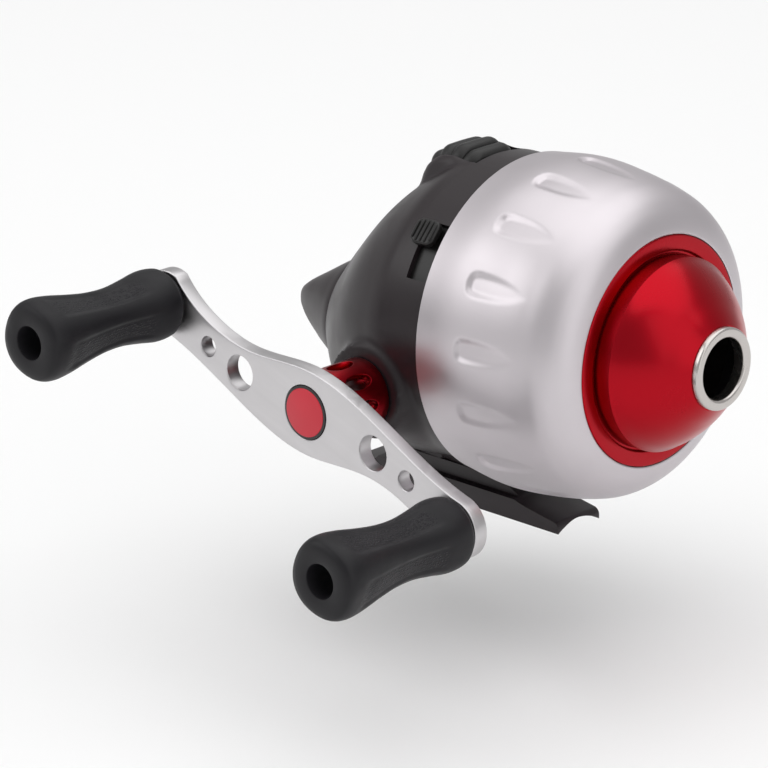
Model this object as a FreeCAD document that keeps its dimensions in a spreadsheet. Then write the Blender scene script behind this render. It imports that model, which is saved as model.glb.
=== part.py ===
"""Closed-face spincast fishing reel, size 30 class, as separate pieces in millimetres.

Row frame: the origin is the centre of the foot's flat underside, +X runs toward the line
exit, +Z is up, and the crank stands on the -Y side. Places along the reel axis are
measured from the cover's rear rim, which is rim_x ahead of the origin.
"""
import FreeCAD, Part
import math
import os
import re
import Sketcher

DIMS = {
    # where the reel axis and the crank axis stand
    "axis_up": "=stem_up + belly_gap + collar_rad", "rim_x": 15.0, "crank_back": 15.0, "crank_drop": 12.5,
    # front cover
    "cover_rim_rad": 34.2, "cover_belly_rad": 35.3, "cover_belly_x": 10.0,
    "cover_shoulder_rad": 31.9, "cover_shoulder_x": 30.6, "cover_front_x": 36.0,
    "cover_seat_rad": 24.2, "cover_lip_rad": 21.5, "cover_lip_thick": 1.6, "cover_wall": 1.5,
    "dimple_count": 16, "dimple_rear_x": 10.6, "dimple_len": 14.5, "dimple_rad": 3.4,
    "dimple_depth": 0.85, "dimple_point": 0.3,
    # red cone insert and the steel line guide
    "flange_thick": 1.3, "cone_root_rad": 20.2, "cone_root_x": 39.7, "cone_mid_x": 46.3,
    "cone_mid_rad": 15.2, "cone_nose_x": 51.3, "cone_nose_rad": 8.8, "cone_wall": 1.4,
    "guide_rad": 8.6, "guide_hole_rad": 6.4, "guide_front_x": 52.7, "guide_neck_rad": 7.2,
    # body housing
    "collar_rad": 33.0, "collar_len": 9.0, "neck_back": 16.0, "neck_drop": 1.8,
    "middle_back": 26.0, "middle_drop": 5.5, "middle_rad": 28.8, "tail_back": 36.0,
    "tail_drop": 8.8, "tail_rad": 22.0, "body_wall": 2.3, "spigot_len": 5.0,
    "spigot_bore": 30.0, "ledge_bore": 28.4, "rear_hole_rad": 13.4, "body_rear_x": 44.0,
    "hump_rad": 9.2, "hump_width": 17.4, "hump_round": 2.6, "wheel_back": 14.5, "wheel_up": 23.6,
    "wheel_rad": 10.9, "wheel_width": 13.4, "wheel_gap": 0.5, "wheel_side_gap": 0.4,
    "wheel_axle_rad": 1.5, "wheel_axle_seat": 1.5, "wheel_crown": 1.0, "rib_count": 16,
    "rib_groove_rad": 1.0, "pod_wall": 1.0, "boss_rad": 10.0, "boss_in": 17.0,
    "boss_face": "=collar_rad + 0.5", "left_boss_rad": 8.5, "left_boss_face": "=collar_rad",
    "left_seat_rad": 5.5, "stem_back": 6.0,
    "run_gap": 0.05, "bearing_rad": 6.5,
    # foot
    "foot_len": 60.0, "foot_width": 13.0, "foot_tip": 2.2, "foot_pad": 30.0,
    "arch_rad": 12.0, "arch_rise": 1.9, "belly_gap": 3.0, "stem_up": 7.5, "stem_len": 28.0, "stem_width": 9.0,
    "foot_screw_gap": 16.0, "foot_screw_rad": 1.6,
    # crank and handle
    "shaft_rad": 3.5, "hub_rad": 7.5, "hub_wall": 1.7, "hub_gap": 0.4, "hub_len": 13.3,
    "hub_in": "=boss_face + hub_gap", "arm_in": "=hub_in + hub_len", "hub_end_wall": 1.4,
    "arm_thick": 3.5, "arm_tip": 5.6, "badge_rad": 5.75, "knob_reach": 40.7, "knob_drop": 14.7,
    "knob_len": 37.5, "knob_gap": 0.5, "knob_end_rad": 8.0, "knob_waist_rad": 5.9,
    "knob_root_rad": 7.4, "knob_pin_rad": 2.4, "knob_hole_rad": 3.5, "knob_hole_deep": 8.0,
    "hub_hole_count": 8, "big_hole_rad": 3.7, "small_hole_rad": 2.1,
    # crossed helical gears
    "gear_teeth": 17, "pinion_teeth": 5, "normal_module": 0.8437, "gear_helix": 30.0,
    "gear_face": 8.0, "pinion_len": 10.0, "tooth_share": 0.38, "tooth_top": 0.62,
    "tooth_root": 1.0,
    # axis parts
    "axle_rad": 2.0, "axle_tail": 38.0, "axle_nose": 29.0, "journal_rad": 3.2,
    "pinion_bearing_rad": 6.0, "deck_thick": 2.5, "deck_boss_rad": 8.0, "deck_boss_len": 4.6,
    "sleeve_rad": 6.0, "sleeve_bore": 2.6, "sleeve_end": 16.2, "spool_rear": 4.0,
    "spool_front": 15.0, "spool_rad": 25.0, "spool_core": 14.0, "flange_wall": 1.3,
    "bracket_x": 24.0, "bracket_thick": 2.0, "post_y": 14.0, "post_z": 3.0, "post_rad": 2.0,
    "land_y": 22.0, "land_drop": 16.0, "land_rad": 4.0, "deck_screw_rad": 1.3, "deck_head_rad": 2.2,
    "deck_head": 1.2,
    "head_rad": 28.0, "head_wall": 1.5, "head_rear": 12.0, "head_front": 24.0,
    "pickup_x": 20.0, "pickup_rad": 1.0, "pickup_tip": 29.5,
    # thumb button, drag parts and bite-alert switch
    "button_rad": 13.0, "button_drop": 10.0, "button_tip": 64.5, "button_tip_rad": 2.4,
    "drag_rad": 18.0, "switch_angle": 41.0, "switch_spread": 9.5, "track_low": 24.0,
    "track_high": 46.0, "track_floor": 31.8, "track_rear": 6.2, "track_len": 5.4,
    "switch_rad": 34.9, "switch_rear": 8.2, "switch_long": 6.2, "switch_leg": 5.0,
}

doc = FreeCAD.newDocument("SpincastReel")
sheet = doc.addObject("Spreadsheet::Sheet", "Dims")
for row, alias in enumerate(DIMS, start=1):
    sheet.set(f"A{row}", alias)
    sheet.setAlias(f"B{row}", alias)
for row, number in enumerate(DIMS.values(), start=1):
    sheet.set(f"B{row}", str(number))
doc.recompute()

NODES = {}
V = FreeCAD.Vector
TURNS = {
    "x": FreeCAD.Rotation(V(0, 1, 0), 90),
    "y": FreeCAD.Rotation(V(1, 0, 0), -90),
    "-y": FreeCAD.Rotation(V(1, 0, 0), 90),
    "z": FreeCAD.Rotation(),
}
PROFILE_TURNS = {
    "x": FreeCAD.Rotation(),
    "y": FreeCAD.Rotation(V(0, 0, 1), 90),
    "-y": FreeCAD.Rotation(V(0, 0, 1), -90),
    "z": FreeCAD.Rotation(V(0, 1, 0), -90),
}
ON_AXIS = ("rim_x", "0", "axis_up")
CRANK_AT = ("rim_x - crank_back", "0", "axis_up - crank_drop")


def expr(text):
    """Name the sheet in front of every alias of an expression."""
    def full_name(found):
        word = found.group(0)
        return f"Dims.{word}" if word in DIMS else word
    return re.sub(r"[a-z]\w*", full_name, str(text))


def size(text):
    """Value of an expression, in millimetres."""
    return float(sheet.evalExpression(expr(text)))


def bind(obj, **sizes):
    """Bind each named property to an expression of the sheet."""
    for name, text in sizes.items():
        obj.setExpression(name, expr(text))
    return obj


def place(obj, at, turn=FreeCAD.Rotation()):
    """Turn an object and bind its place to three expressions."""
    obj.Placement = FreeCAD.Placement(V(), turn)
    for letter, text in zip("xyz", at):
        obj.setExpression(f"Placement.Base.{letter}", expr(text))
    return obj


def along(at, x="0", y="0", z="0"):
    """A place moved by three expressions."""
    return tuple(f"{base} + ({move})" for base, move in zip(at, (x, y, z)))


def keep(name, obj):
    """Name an object as one piece of the reel."""
    obj.Label = name
    NODES[name] = obj
    return obj


def rod(name, radius, length, at, turn="x"):
    """Plain cylinder that starts at a place and runs along an axis."""
    obj = doc.addObject("Part::Cylinder", name)
    bind(obj, Radius=radius, Height=length)
    return place(obj, at, TURNS[turn])


def block(name, sides, at):
    """Box with its lowest corner at a place."""
    obj = doc.addObject("Part::Box", name)
    bind(obj, Length=sides[0], Width=sides[1], Height=sides[2])
    return place(obj, at)


def fuse(name, shapes):
    obj = doc.addObject("Part::MultiFuse", name)
    obj.Shapes = shapes
    return obj


def cut(name, base, tools):
    """Base less one tool or a list of them."""
    obj = doc.addObject("Part::Cut", name)
    obj.Base = base
    obj.Tool = tools[0] if len(tools) == 1 else fuse(name + "_cuts", tools)
    return obj


def common(name, first, second):
    obj = doc.addObject("Part::MultiCommon", name)
    obj.Shapes = [first, second]
    return obj


def tube(name, radius, bore, length, at, turn="x"):
    outer = rod(name + "_out", radius, length, at, turn)
    inner = rod(name + "_in", bore, length, at, turn)
    return cut(name + "_tube", outer, [inner])


def outline(body, name, corners, role):
    """Closed outline of straight runs; a third value on a corner rounds it by that radius."""
    sketch = body.newObject("Sketcher::SketchObject", name)
    plane = next(item for item in body.Origin.OriginFeatures if item.Role == role)
    sketch.AttachmentSupport = (plane, [""])
    sketch.MapMode = "FlatFace"
    points = [V(size(corner[0]), size(corner[1]), 0) for corner in corners]
    count = len(points)
    entry, leave, radii = [], [], []
    for index, corner in enumerate(corners):
        radius = size(corner[2]) if len(corner) > 2 else 0.0
        back = (points[index - 1] - points[index]).normalize()
        ahead = (points[(index + 1) % count] - points[index]).normalize()
        reach = radius / math.tan(back.getAngle(ahead) / 2)
        entry.append(points[index] + back * reach)
        leave.append(points[index] + ahead * reach)
        radii.append(radius)
    lines = [sketch.addGeometry(Part.LineSegment(leave[i], entry[(i + 1) % count])) for i in range(count)]
    for index, corner in enumerate(corners):
        before, after = lines[index - 1], lines[index]
        if radii[index]:
            run_ends = (points[index], entry[index], leave[index])
            anchor = (round_corner(sketch, *run_ends, before, after, corner[2]), 1)
        else:
            sketch.addConstraint(Sketcher.Constraint("Coincident", before, 2, after, 1))
            anchor = (after, 1)
        for kind, text in (("DistanceX", corner[0]), ("DistanceY", corner[1])):
            tie = sketch.addConstraint(Sketcher.Constraint(kind, -1, 1, anchor[0], anchor[1], size(text)))
            sketch.setExpression(f"Constraints[{tie}]", expr(text))
    return sketch


def round_corner(sketch, corner, start, end, before, after, radius):
    """Arc tangent to two runs, and a construction point at the sharp corner they share."""
    reach = (start - corner).Length
    inward = (start - corner).normalize() + (end - corner).normalize()
    half = (start - corner).getAngle(end - corner) / 2
    centre = corner + inward.normalize() * (reach / math.cos(half))
    angles = [math.atan2(point.y - centre.y, point.x - centre.x) for point in (start, end)]
    left = (corner - start).cross(end - corner).z > 0
    circle = Part.Circle(centre, V(0, 0, 1), (start - centre).Length)
    arc = sketch.addGeometry(Part.ArcOfCircle(circle, *(angles if left else reversed(angles))))
    near, far = (1, 2) if left else (2, 1)
    sketch.addConstraint(Sketcher.Constraint("Tangent", before, 2, arc, near))
    sketch.addConstraint(Sketcher.Constraint("Tangent", arc, far, after, 1))
    tie = sketch.addConstraint(Sketcher.Constraint("Radius", arc, size(radius)))
    sketch.setExpression(f"Constraints[{tie}]", expr(radius))
    mark = sketch.addGeometry(Part.Point(corner), True)
    sketch.addConstraint(Sketcher.Constraint("PointOnObject", mark, 1, before))
    sketch.addConstraint(Sketcher.Constraint("PointOnObject", mark, 1, after))
    return mark


def turned(name, corners, at, turn="x"):
    """Piece turned about its own X axis from (along, radius) corners."""
    body = doc.addObject("PartDesign::Body", name)
    sketch = outline(body, name + "_profile", corners, "XY_Plane")
    spin = body.newObject("PartDesign::Revolution", name + "_turning")
    spin.Profile = sketch
    spin.ReferenceAxis = (sketch, ["H_Axis"])
    spin.Angle = 360
    return place(body, at, PROFILE_TURNS[turn])


def plate(name, corners, thickness, at):
    """Piece of even thickness along Y, centred on a place, from (x, z) corners."""
    body = doc.addObject("PartDesign::Body", name)
    sketch = outline(body, name + "_profile", corners, "XZ_Plane")
    pad = body.newObject("PartDesign::Pad", name + "_pad")
    pad.Profile = sketch
    bind(pad, Length=thickness)
    pad.Midplane = True
    return place(body, at)


def loft(name, sections):
    """Solid through round sections (distance behind the rim, drop of centre, radius)."""
    rings = []
    for number, (back, drop, radius) in enumerate(sections):
        ring = doc.addObject("Part::Circle", f"{name}_ring{number}")
        bind(ring, Radius=radius)
        rings.append(place(ring, along(ON_AXIS, f"0 - ({back})", "0", f"0 - ({drop})"), TURNS["x"]))
    obj = doc.addObject("Part::Loft", name)
    obj.Sections = rings
    obj.Solid = True
    return obj


def sector(name, radius, bore, start, spread, rear, length):
    """Part of a ring about the reel axis; its angle is counted up from the -Y side."""
    angle = math.radians(size(start))
    rise = V(0, -math.cos(angle), math.sin(angle))
    turn = FreeCAD.Rotation(rise, V(), V(-1, 0, 0), "ZXY")
    front = along(ON_AXIS, f"{length} - ({rear})")
    rings = []
    for part_name, part_radius in (("_out", radius), ("_in", bore)):
        ring = doc.addObject("Part::Cylinder", name + part_name)
        bind(ring, Radius=part_radius, Height=length, Angle=spread)
        rings.append(place(ring, front, turn))
    return cut(name + "_sector", rings[0], [rings[1]])


def solid_piece(name, shape, at=("0", "0", "0")):
    """Piece whose shape is worked out here from the sheet's values."""
    obj = doc.addObject("Part::Feature", name)
    obj.Shape = shape
    return keep(name, place(obj, at))


def helical_gear(teeth, helix, length, reverse_phase):
    """Right-handed helical gear about Z with straight-sided teeth, by a ruled loft."""
    module = size("normal_module")
    pitch_rad = module / math.cos(helix) * teeth / 2
    half_tooth = math.pi * size("tooth_share") / teeth
    lean = math.tan(math.radians(20)) / math.cos(helix) / pitch_rad
    steps = [
        (-size("tooth_root") * module, 1), (size("tooth_top") * module, 1),
        (size("tooth_top") * module, -1), (-size("tooth_root") * module, -1),
    ]
    twist = length * math.tan(helix) / pitch_rad
    slices = max(4, math.ceil(abs(twist) / math.radians(9)))
    wires = []
    for number in range(slices + 1):
        share = number / slices - 0.5
        start = twist * share + (math.pi / teeth if reverse_phase else 0.0)
        points = []
        for tooth in range(teeth):
            middle = start + 2 * math.pi * tooth / teeth
            for rise, side in steps:
                angle = middle - side * (half_tooth - lean * rise)
                radius = pitch_rad + rise
                points.append(V(radius * math.cos(angle), radius * math.sin(angle), length * share))
        wires.append(Part.makePolygon(points + points[:1]))
    return Part.makeLoft(wires, True, True)


def make_front_cover():
    inner_front = "cover_front_x - flange_thick - cover_lip_thick"
    shell = turned("cover_shell", [
        ("0", "cover_rim_rad"),
        ("cover_belly_x", "cover_belly_rad", "60"),
        ("cover_shoulder_x", "cover_shoulder_rad", "7"),
        ("cover_front_x", "cover_seat_rad + 0.5", "1"),
        ("cover_front_x", "cover_seat_rad"),
        ("cover_front_x - flange_thick", "cover_seat_rad"),
        ("cover_front_x - flange_thick", "cover_lip_rad"),
        (inner_front, "cover_lip_rad"),
        (inner_front, "cover_seat_rad - cover_wall"),
        ("cover_shoulder_x - 0.4 * cover_wall", "cover_shoulder_rad - cover_wall", "5"),
        ("cover_belly_x", "cover_belly_rad - cover_wall", "60"),
        ("0", "cover_rim_rad - cover_wall"),
    ], ON_AXIS)
    fall = "(cover_belly_rad - cover_shoulder_rad) / (cover_shoulder_x - cover_belly_x)"
    front_floor = size(f"cover_belly_rad - {fall} * (dimple_rear_x + dimple_len - cover_belly_x)")
    rear_floor = size("cover_belly_rad - 0.2 - dimple_depth")
    length = size("dimple_len")
    tilt = math.atan2(size("dimple_rad - dimple_point"), length)
    tilt += math.atan2(rear_floor - front_floor, length)
    lift = rear_floor + size("dimple_rad") * math.cos(tilt)
    tools = []
    for number in range(int(size("dimple_count"))):
        around = math.degrees(2 * math.pi * (number + 0.25) / size("dimple_count"))
        cone = doc.addObject("Part::Cone", f"dimple{number}")
        bind(cone, Radius1="dimple_rad", Radius2="dimple_point", Height="dimple_len")
        at = along(ON_AXIS, "dimple_rear_x", f"0 - {lift} * cos({around} deg)", f"{lift} * sin({around} deg)")
        lean = FreeCAD.Rotation(V(0, 0, 1), -math.degrees(tilt)).multiply(TURNS["x"])
        tools.append(place(cone, at, FreeCAD.Rotation(V(1, 0, 0), 180 - around).multiply(lean)))
    keep("front_cover", cut("front_cover", shell, tools))


def make_nose():
    skirt_bore = "cone_root_rad - cone_wall"
    keep("cone_insert", turned("cone_insert", [
        ("cover_front_x - flange_thick - cover_lip_thick", "cover_lip_rad"),
        ("cover_front_x - flange_thick", "cover_lip_rad"),
        ("cover_front_x - flange_thick", "cover_seat_rad"),
        ("cover_front_x", "cover_seat_rad", "0.4"),
        ("cover_front_x", "cone_root_rad"),
        ("cone_root_x", "cone_root_rad", "0.7"),
        ("cone_mid_x", "cone_mid_rad", "14"),
        ("cone_nose_x", "cone_nose_rad"),
        ("cone_nose_x", "guide_neck_rad"),
        ("cone_nose_x - cone_wall", "guide_neck_rad"),
        ("cone_mid_x - cone_wall", "cone_mid_rad - 0.7 * cone_wall", "10"),
        ("cone_root_x - 0.8 * cone_wall", skirt_bore),
        ("cover_front_x - flange_thick - cover_lip_thick", skirt_bore),
    ], ON_AXIS))
    keep("line_guide_ring", turned("line_guide_ring", [
        ("cone_nose_x - cone_wall", "guide_neck_rad"),
        ("cone_nose_x", "guide_neck_rad"),
        ("cone_nose_x", "guide_rad"),
        ("guide_front_x", "guide_rad", "0.5"),
        ("guide_front_x", "guide_hole_rad", "0.6"),
        ("cone_nose_x - cone_wall", "guide_hole_rad"),
    ], ON_AXIS))


def make_housing():
    outside = [
        ("collar_len", "0", "collar_rad"), ("collar_len + 3", "0.4", "collar_rad - 0.15"),
        ("neck_back", "neck_drop", "collar_rad - 0.9"), ("middle_back", "middle_drop", "middle_rad"),
        ("tail_back", "tail_drop", "tail_rad"),
        ("body_rear_x", "button_drop", "rear_hole_rad + 1.3"),
    ]
    inside = [
        ("collar_len - 5", "0", "collar_rad - body_wall"), ("collar_len", "0", "collar_rad - body_wall"),
        ("neck_back", "neck_drop", "collar_rad - 0.9 - body_wall"),
        ("middle_back", "middle_drop", "middle_rad - body_wall"),
        ("tail_back", "tail_drop + 0.1", "tail_rad - body_wall"),
        ("body_rear_x - 2.5", "button_drop - 0.2", "rear_hole_rad + 1.2"),
    ]
    rear_skin = loft("body_outside", outside)
    collar = rod("collar", "collar_rad", "collar_len", along(ON_AXIS, "0 - collar_len"))
    spigot = rod("spigot", "cover_rim_rad - cover_wall - run_gap", "spigot_len + 1", along(ON_AXIS, "0 - 1"))
    hump_at = along(ON_AXIS, "0 - wheel_back", "0 - hump_width / 2", "wheel_up")
    hump = turned("hump", [
        ("0", "0"), ("0", "hump_rad", "hump_round"),
        ("hump_width", "hump_rad", "hump_round"), ("hump_width", "0"),
    ], hump_at, "y")
    pad = block("stem_pad", ("stem_len", "stem_width", "6"),
                ("0 - stem_len / 2 - stem_back", "0 - stem_width / 2", "stem_up"))
    skin = fuse("skin", [rear_skin, collar, spigot, hump, pad])
    hollow = fuse("hollow", [
        loft("body_inside", inside),
        rod("ledge_hole", "ledge_bore", "12", along(ON_AXIS, "0 - 8")),
        rod("spigot_hole", "spigot_bore", "12", along(ON_AXIS, "0 - 2")),
    ])
    shell = cut("shell", skin, [hollow])
    pod = rod("pod_block", "wheel_rad + wheel_gap + pod_wall", "hump_width", hump_at, "y")
    solid_skin = fuse("solid_skin", [
        loft("pod_limit", outside),
        rod("pod_collar", "collar_rad - 0.5", "collar_len", along(ON_AXIS, "0 - collar_len")),
    ])
    bosses = [
        rod("crank_boss", "boss_rad", "boss_face - boss_in", along(CRANK_AT, y="0 - boss_in"), "-y"),
        rod("left_boss", "left_boss_rad", "left_boss_face - boss_in", along(CRANK_AT, y="boss_in"), "y"),
        common("pod", pod, solid_skin),
        block("screw_land", ("stem_len", "stem_width", "5"),
              ("0 - stem_len / 2 - stem_back", "0 - stem_width / 2", "stem_up + 2")),
    ]
    bores = [
        rod("crank_bore", "bearing_rad", "boss_face", along(CRANK_AT, y="0 - boss_in + 1"), "-y"),
        rod("left_bore", "left_seat_rad", "boss_face", along(CRANK_AT, y="boss_in - 1"), "y"),
        rod("rear_hole", "rear_hole_rad", "12",
            along(ON_AXIS, "0 - body_rear_x - 4", "0", "0 - button_drop")),
        rod("wheel_pocket", "wheel_rad + wheel_gap", "wheel_width + 2 * wheel_side_gap",
            along(ON_AXIS, "0 - wheel_back", "0 - wheel_width / 2 - wheel_side_gap", "wheel_up"), "y"),
        rod("wheel_axle_hole", "wheel_axle_rad", "wheel_width + 2 * wheel_axle_seat",
            along(ON_AXIS, "0 - wheel_back", "0 - wheel_width / 2 - wheel_axle_seat", "wheel_up"), "y"),
        sector("track", "collar_rad + 3", "track_floor", "track_low", "track_high - track_low",
               "track_rear", "track_len"),
        sector("leg_slot", "collar_rad", "collar_rad - body_wall - 2", "track_low + 1.5",
               "track_high - track_low - 3", "track_rear - 0.3", "2.6"),
    ]
    for side in (-1, 1):
        land_at = along(ON_AXIS, "0 - 7", f"{side} * land_y", "0 - land_drop")
        bosses.append(rod(f"deck_land{side + 1}", "land_rad", "5", land_at))
        bores.append(rod(f"deck_tap{side + 1}", "deck_screw_rad", "7", land_at))
        bores.append(rod(f"stem_screw_hole{side + 1}", "foot_screw_rad - 0.1", "7",
                         (f"{side} * foot_screw_gap / 2 - stem_back", "0", "stem_up - 0.5"), "z"))
    keep("body_housing", cut("body_housing", fuse("bossed_shell", [shell] + bosses), bores))


def make_foot():
    blade = plate("foot_blade", [
        ("foot_len / 2", "0"), ("foot_len / 2", "foot_tip", "1.6"), ("foot_len / 2 - 12", "4.2", "20"),
        ("stem_len / 2 - 2", "stem_up"), ("0 - stem_len / 2 - stem_back", "stem_up"),
        ("0 - foot_len / 2 + 9", "3.6", "5"),
        ("0 - foot_len / 2", "foot_tip", "1.4"), ("0 - foot_len / 2", "0"),
    ], "foot_width", ("0", "0", "0"))
    upper = plate("stem_shape", [
        ("stem_len / 2 - 1", "2"), ("stem_len / 2 - stem_back", "stem_up"),
        ("0 - stem_len / 2 - stem_back", "stem_up"), ("0 - stem_len / 2 - stem_back", "2"),
    ], "stem_width", ("0", "0", "0"))
    trim = []
    for side in (-1, 1):
        trim.append(block(f"stem_side{side + 1}", ("foot_len + 2", "4", "stem_up"),
                          ("0 - foot_len / 2 - 1", f"{side} * (stem_width / 2 + 2) - 2", "4.6")))
        start = "foot_pad / 2" if side > 0 else "0 - foot_len / 2 - 1"
        trim.append(rod(f"arch{side + 1}", "arch_rad", "foot_len / 2 - foot_pad / 2 + 1",
                        (start, "0", "arch_rise - arch_rad"), "x"))
        hole_at = (f"{side} * foot_screw_gap / 2 - stem_back", "0", "0 - 1")
        trim.append(rod(f"foot_hole{side + 1}", "foot_screw_rad + run_gap", "stem_up + 2", hole_at, "z"))
        trim.append(rod(f"foot_sink{side + 1}", "foot_screw_rad + 1.4", "3", hole_at, "z"))
    keep("foot", cut("foot", fuse("foot_blank", [blade, upper]), trim))
    screws = []
    for side in (-1, 1):
        at = (f"{side} * foot_screw_gap / 2 - stem_back", "0", "0.5")
        screws.append(turned(f"foot_screw{side + 1}", [
            ("0", "0"), ("0", "foot_screw_rad + 1.3", "0.3"), ("1.5", "foot_screw_rad + 1.3"),
            ("1.5", "foot_screw_rad - 0.1"), ("stem_up + 4", "foot_screw_rad - 0.1"), ("stem_up + 5", "0"),
        ], at, "z"))
    keep("foot_screws", fuse("foot_screws", screws))


def make_deck():
    plate_at = along(ON_AXIS, "0 - 2")
    disc = rod("deck_disc", "spigot_bore - 0.05", "deck_thick", plate_at)
    boss = rod("deck_boss", "deck_boss_rad", "deck_boss_len + 2", along(ON_AXIS, "0 - deck_boss_len - 2"))
    screw_spots = [
        ("0 - post_y", "post_z"), ("post_y", "post_z"),
        ("0 - land_y", "0 - land_drop"), ("land_y", "0 - land_drop"),
    ]
    holes = [
        rod("deck_bore", "pinion_bearing_rad", "deck_boss_len + 8", along(ON_AXIS, "0 - deck_boss_len - 4")),
    ]
    screws = []
    for number, (side, rise) in enumerate(screw_spots):
        head_at = along(ON_AXIS, "deck_thick - 2 - deck_head", side, rise)
        holes.append(rod(f"deck_hole{number}", "deck_screw_rad", "6", along(ON_AXIS, "0 - 3", side, rise)))
        holes.append(rod(f"deck_sink{number}", "deck_head_rad", "3", head_at))
        screws.append(fuse(f"deck_screw{number}", [
            rod(f"deck_shank{number}", "deck_screw_rad", "4.5", along(ON_AXIS, "0 - 4.5", side, rise)),
            rod(f"deck_head{number}", "deck_head_rad", "deck_head", head_at),
        ]))
    keep("deck_plate", cut("deck_plate", fuse("deck_blank", [disc, boss]), holes))
    keep("deck_screws", fuse("deck_screws", screws))
    web = block("bracket_web", ("bracket_thick", "2 * post_y + 6", "9"),
                along(ON_AXIS, "0 - bracket_x - bracket_thick", "0 - post_y - 3", "0 - 4"))
    posts, tapped = [], []
    for side in (-1, 1):
        post_at = along(ON_AXIS, "0 - bracket_x", f"{side} * post_y", "post_z")
        posts.append(rod(f"post{side + 1}", "post_rad", "bracket_x - 2", post_at))
        tapped.append(rod(f"post_tap{side + 1}", "deck_screw_rad", "4", along(post_at, "bracket_x - 5")))
    bore = rod("bracket_bore", "journal_rad + run_gap", "6", along(ON_AXIS, "0 - bracket_x - 4"))
    keep("shaft_bracket", cut("shaft_bracket", fuse("bracket_blank", [web] + posts), tapped + [bore]))


def make_bearings():
    keep("pinion_bearing", tube("pinion_bearing", "pinion_bearing_rad", "journal_rad + run_gap", "4",
                                along(ON_AXIS, "0 - 6.5")))
    keep("crank_clutch", tube("crank_clutch", "bearing_rad", "shaft_rad + run_gap", "8",
                              along(CRANK_AT, y="0 - boss_in - 0.3"), "-y"))
    keep("crank_bearing", tube("crank_bearing", "bearing_rad", "shaft_rad + run_gap", "7",
                               along(CRANK_AT, y="0 - boss_in - 9"), "-y"))
    keep("left_bush", tube("left_bush", "left_seat_rad", "shaft_rad + run_gap", "9",
                           along(CRANK_AT, y="boss_in + 0.5"), "y"))
    keep("left_cap", turned("left_cap", [
        ("left_boss_face - 4", "0"), ("left_boss_face - 4", "left_seat_rad"),
        ("left_boss_face", "left_seat_rad"), ("left_boss_face", "left_boss_rad"),
        ("left_boss_face + 2", "left_boss_rad", "1.2"),
        ("left_boss_face + 2", "0"),
    ], CRANK_AT, "y"))


def make_spool_group():
    keep("spool_sleeve", turned("spool_sleeve", [
        ("0.5", "sleeve_bore"), ("0.5", "sleeve_rad + 3"), ("1.2", "sleeve_rad + 3"), ("1.2", "sleeve_rad"),
        ("sleeve_end", "sleeve_rad"), ("sleeve_end", "sleeve_bore"),
    ], ON_AXIS))
    drag_bore = "sleeve_rad + run_gap"
    keep("drag_washer", tube("drag_washer", "drag_rad - 1", drag_bore, "1.0", along(ON_AXIS, "1.2")))
    keep("drag_plate", tube("drag_plate", "drag_rad", drag_bore, "1.2", along(ON_AXIS, "2.2")))
    keep("spool", turned("spool", [
        ("spool_rear", "sleeve_rad + run_gap"), ("spool_rear", "spool_rad", "0.4"),
        ("spool_rear + flange_wall", "spool_rad", "0.4"), ("spool_rear + flange_wall", "spool_core"),
        ("spool_front - flange_wall", "spool_core"), ("spool_front - flange_wall", "spool_rad", "0.4"),
        ("spool_front", "spool_rad", "0.4"), ("spool_front", "sleeve_rad + run_gap"),
    ], ON_AXIS))
    keep("spool_clip", tube("spool_clip", "sleeve_rad + 1.6", "sleeve_rad", "0.8",
                            along(ON_AXIS, "sleeve_end - 0.9")))


def make_gears():
    helix = math.radians(size("gear_helix"))
    crank_x = size("rim_x - crank_back")
    gear = helical_gear(int(size("gear_teeth")), helix, size("gear_face"), True)
    gear.rotate(V(), V(1, 0, 0), -90)
    gear.rotate(V(), V(0, 1, 0), -90)
    gear = gear.cut(Part.makeCylinder(size("shaft_rad"), 20, V(0, -10, 0), V(0, 1, 0)))
    solid_piece("drive_gear", gear, CRANK_AT)
    pinion = helical_gear(int(size("pinion_teeth")), math.pi / 2 - helix, size("pinion_len"), False)
    pinion.rotate(V(), V(0, 1, 0), 90)
    half = size("pinion_len") / 2
    back = size("bracket_x + bracket_thick + 1 - crank_back")
    ahead = size("crank_back - 0.3")
    journal = size("journal_rad")
    pieces = [
        pinion,
        Part.makeCylinder(journal, back - half, V(-back, 0, 0), V(1, 0, 0)),
        Part.makeCylinder(journal, ahead - half, V(half, 0, 0), V(1, 0, 0)),
    ]
    solid = pieces[0].multiFuse(pieces[1:])
    bore = Part.makeCylinder(size("axle_rad + run_gap"), 80, V(-40, 0, 0), V(1, 0, 0))
    solid_piece("pinion", solid.cut(bore), (str(crank_x), "0", "axis_up"))


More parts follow.
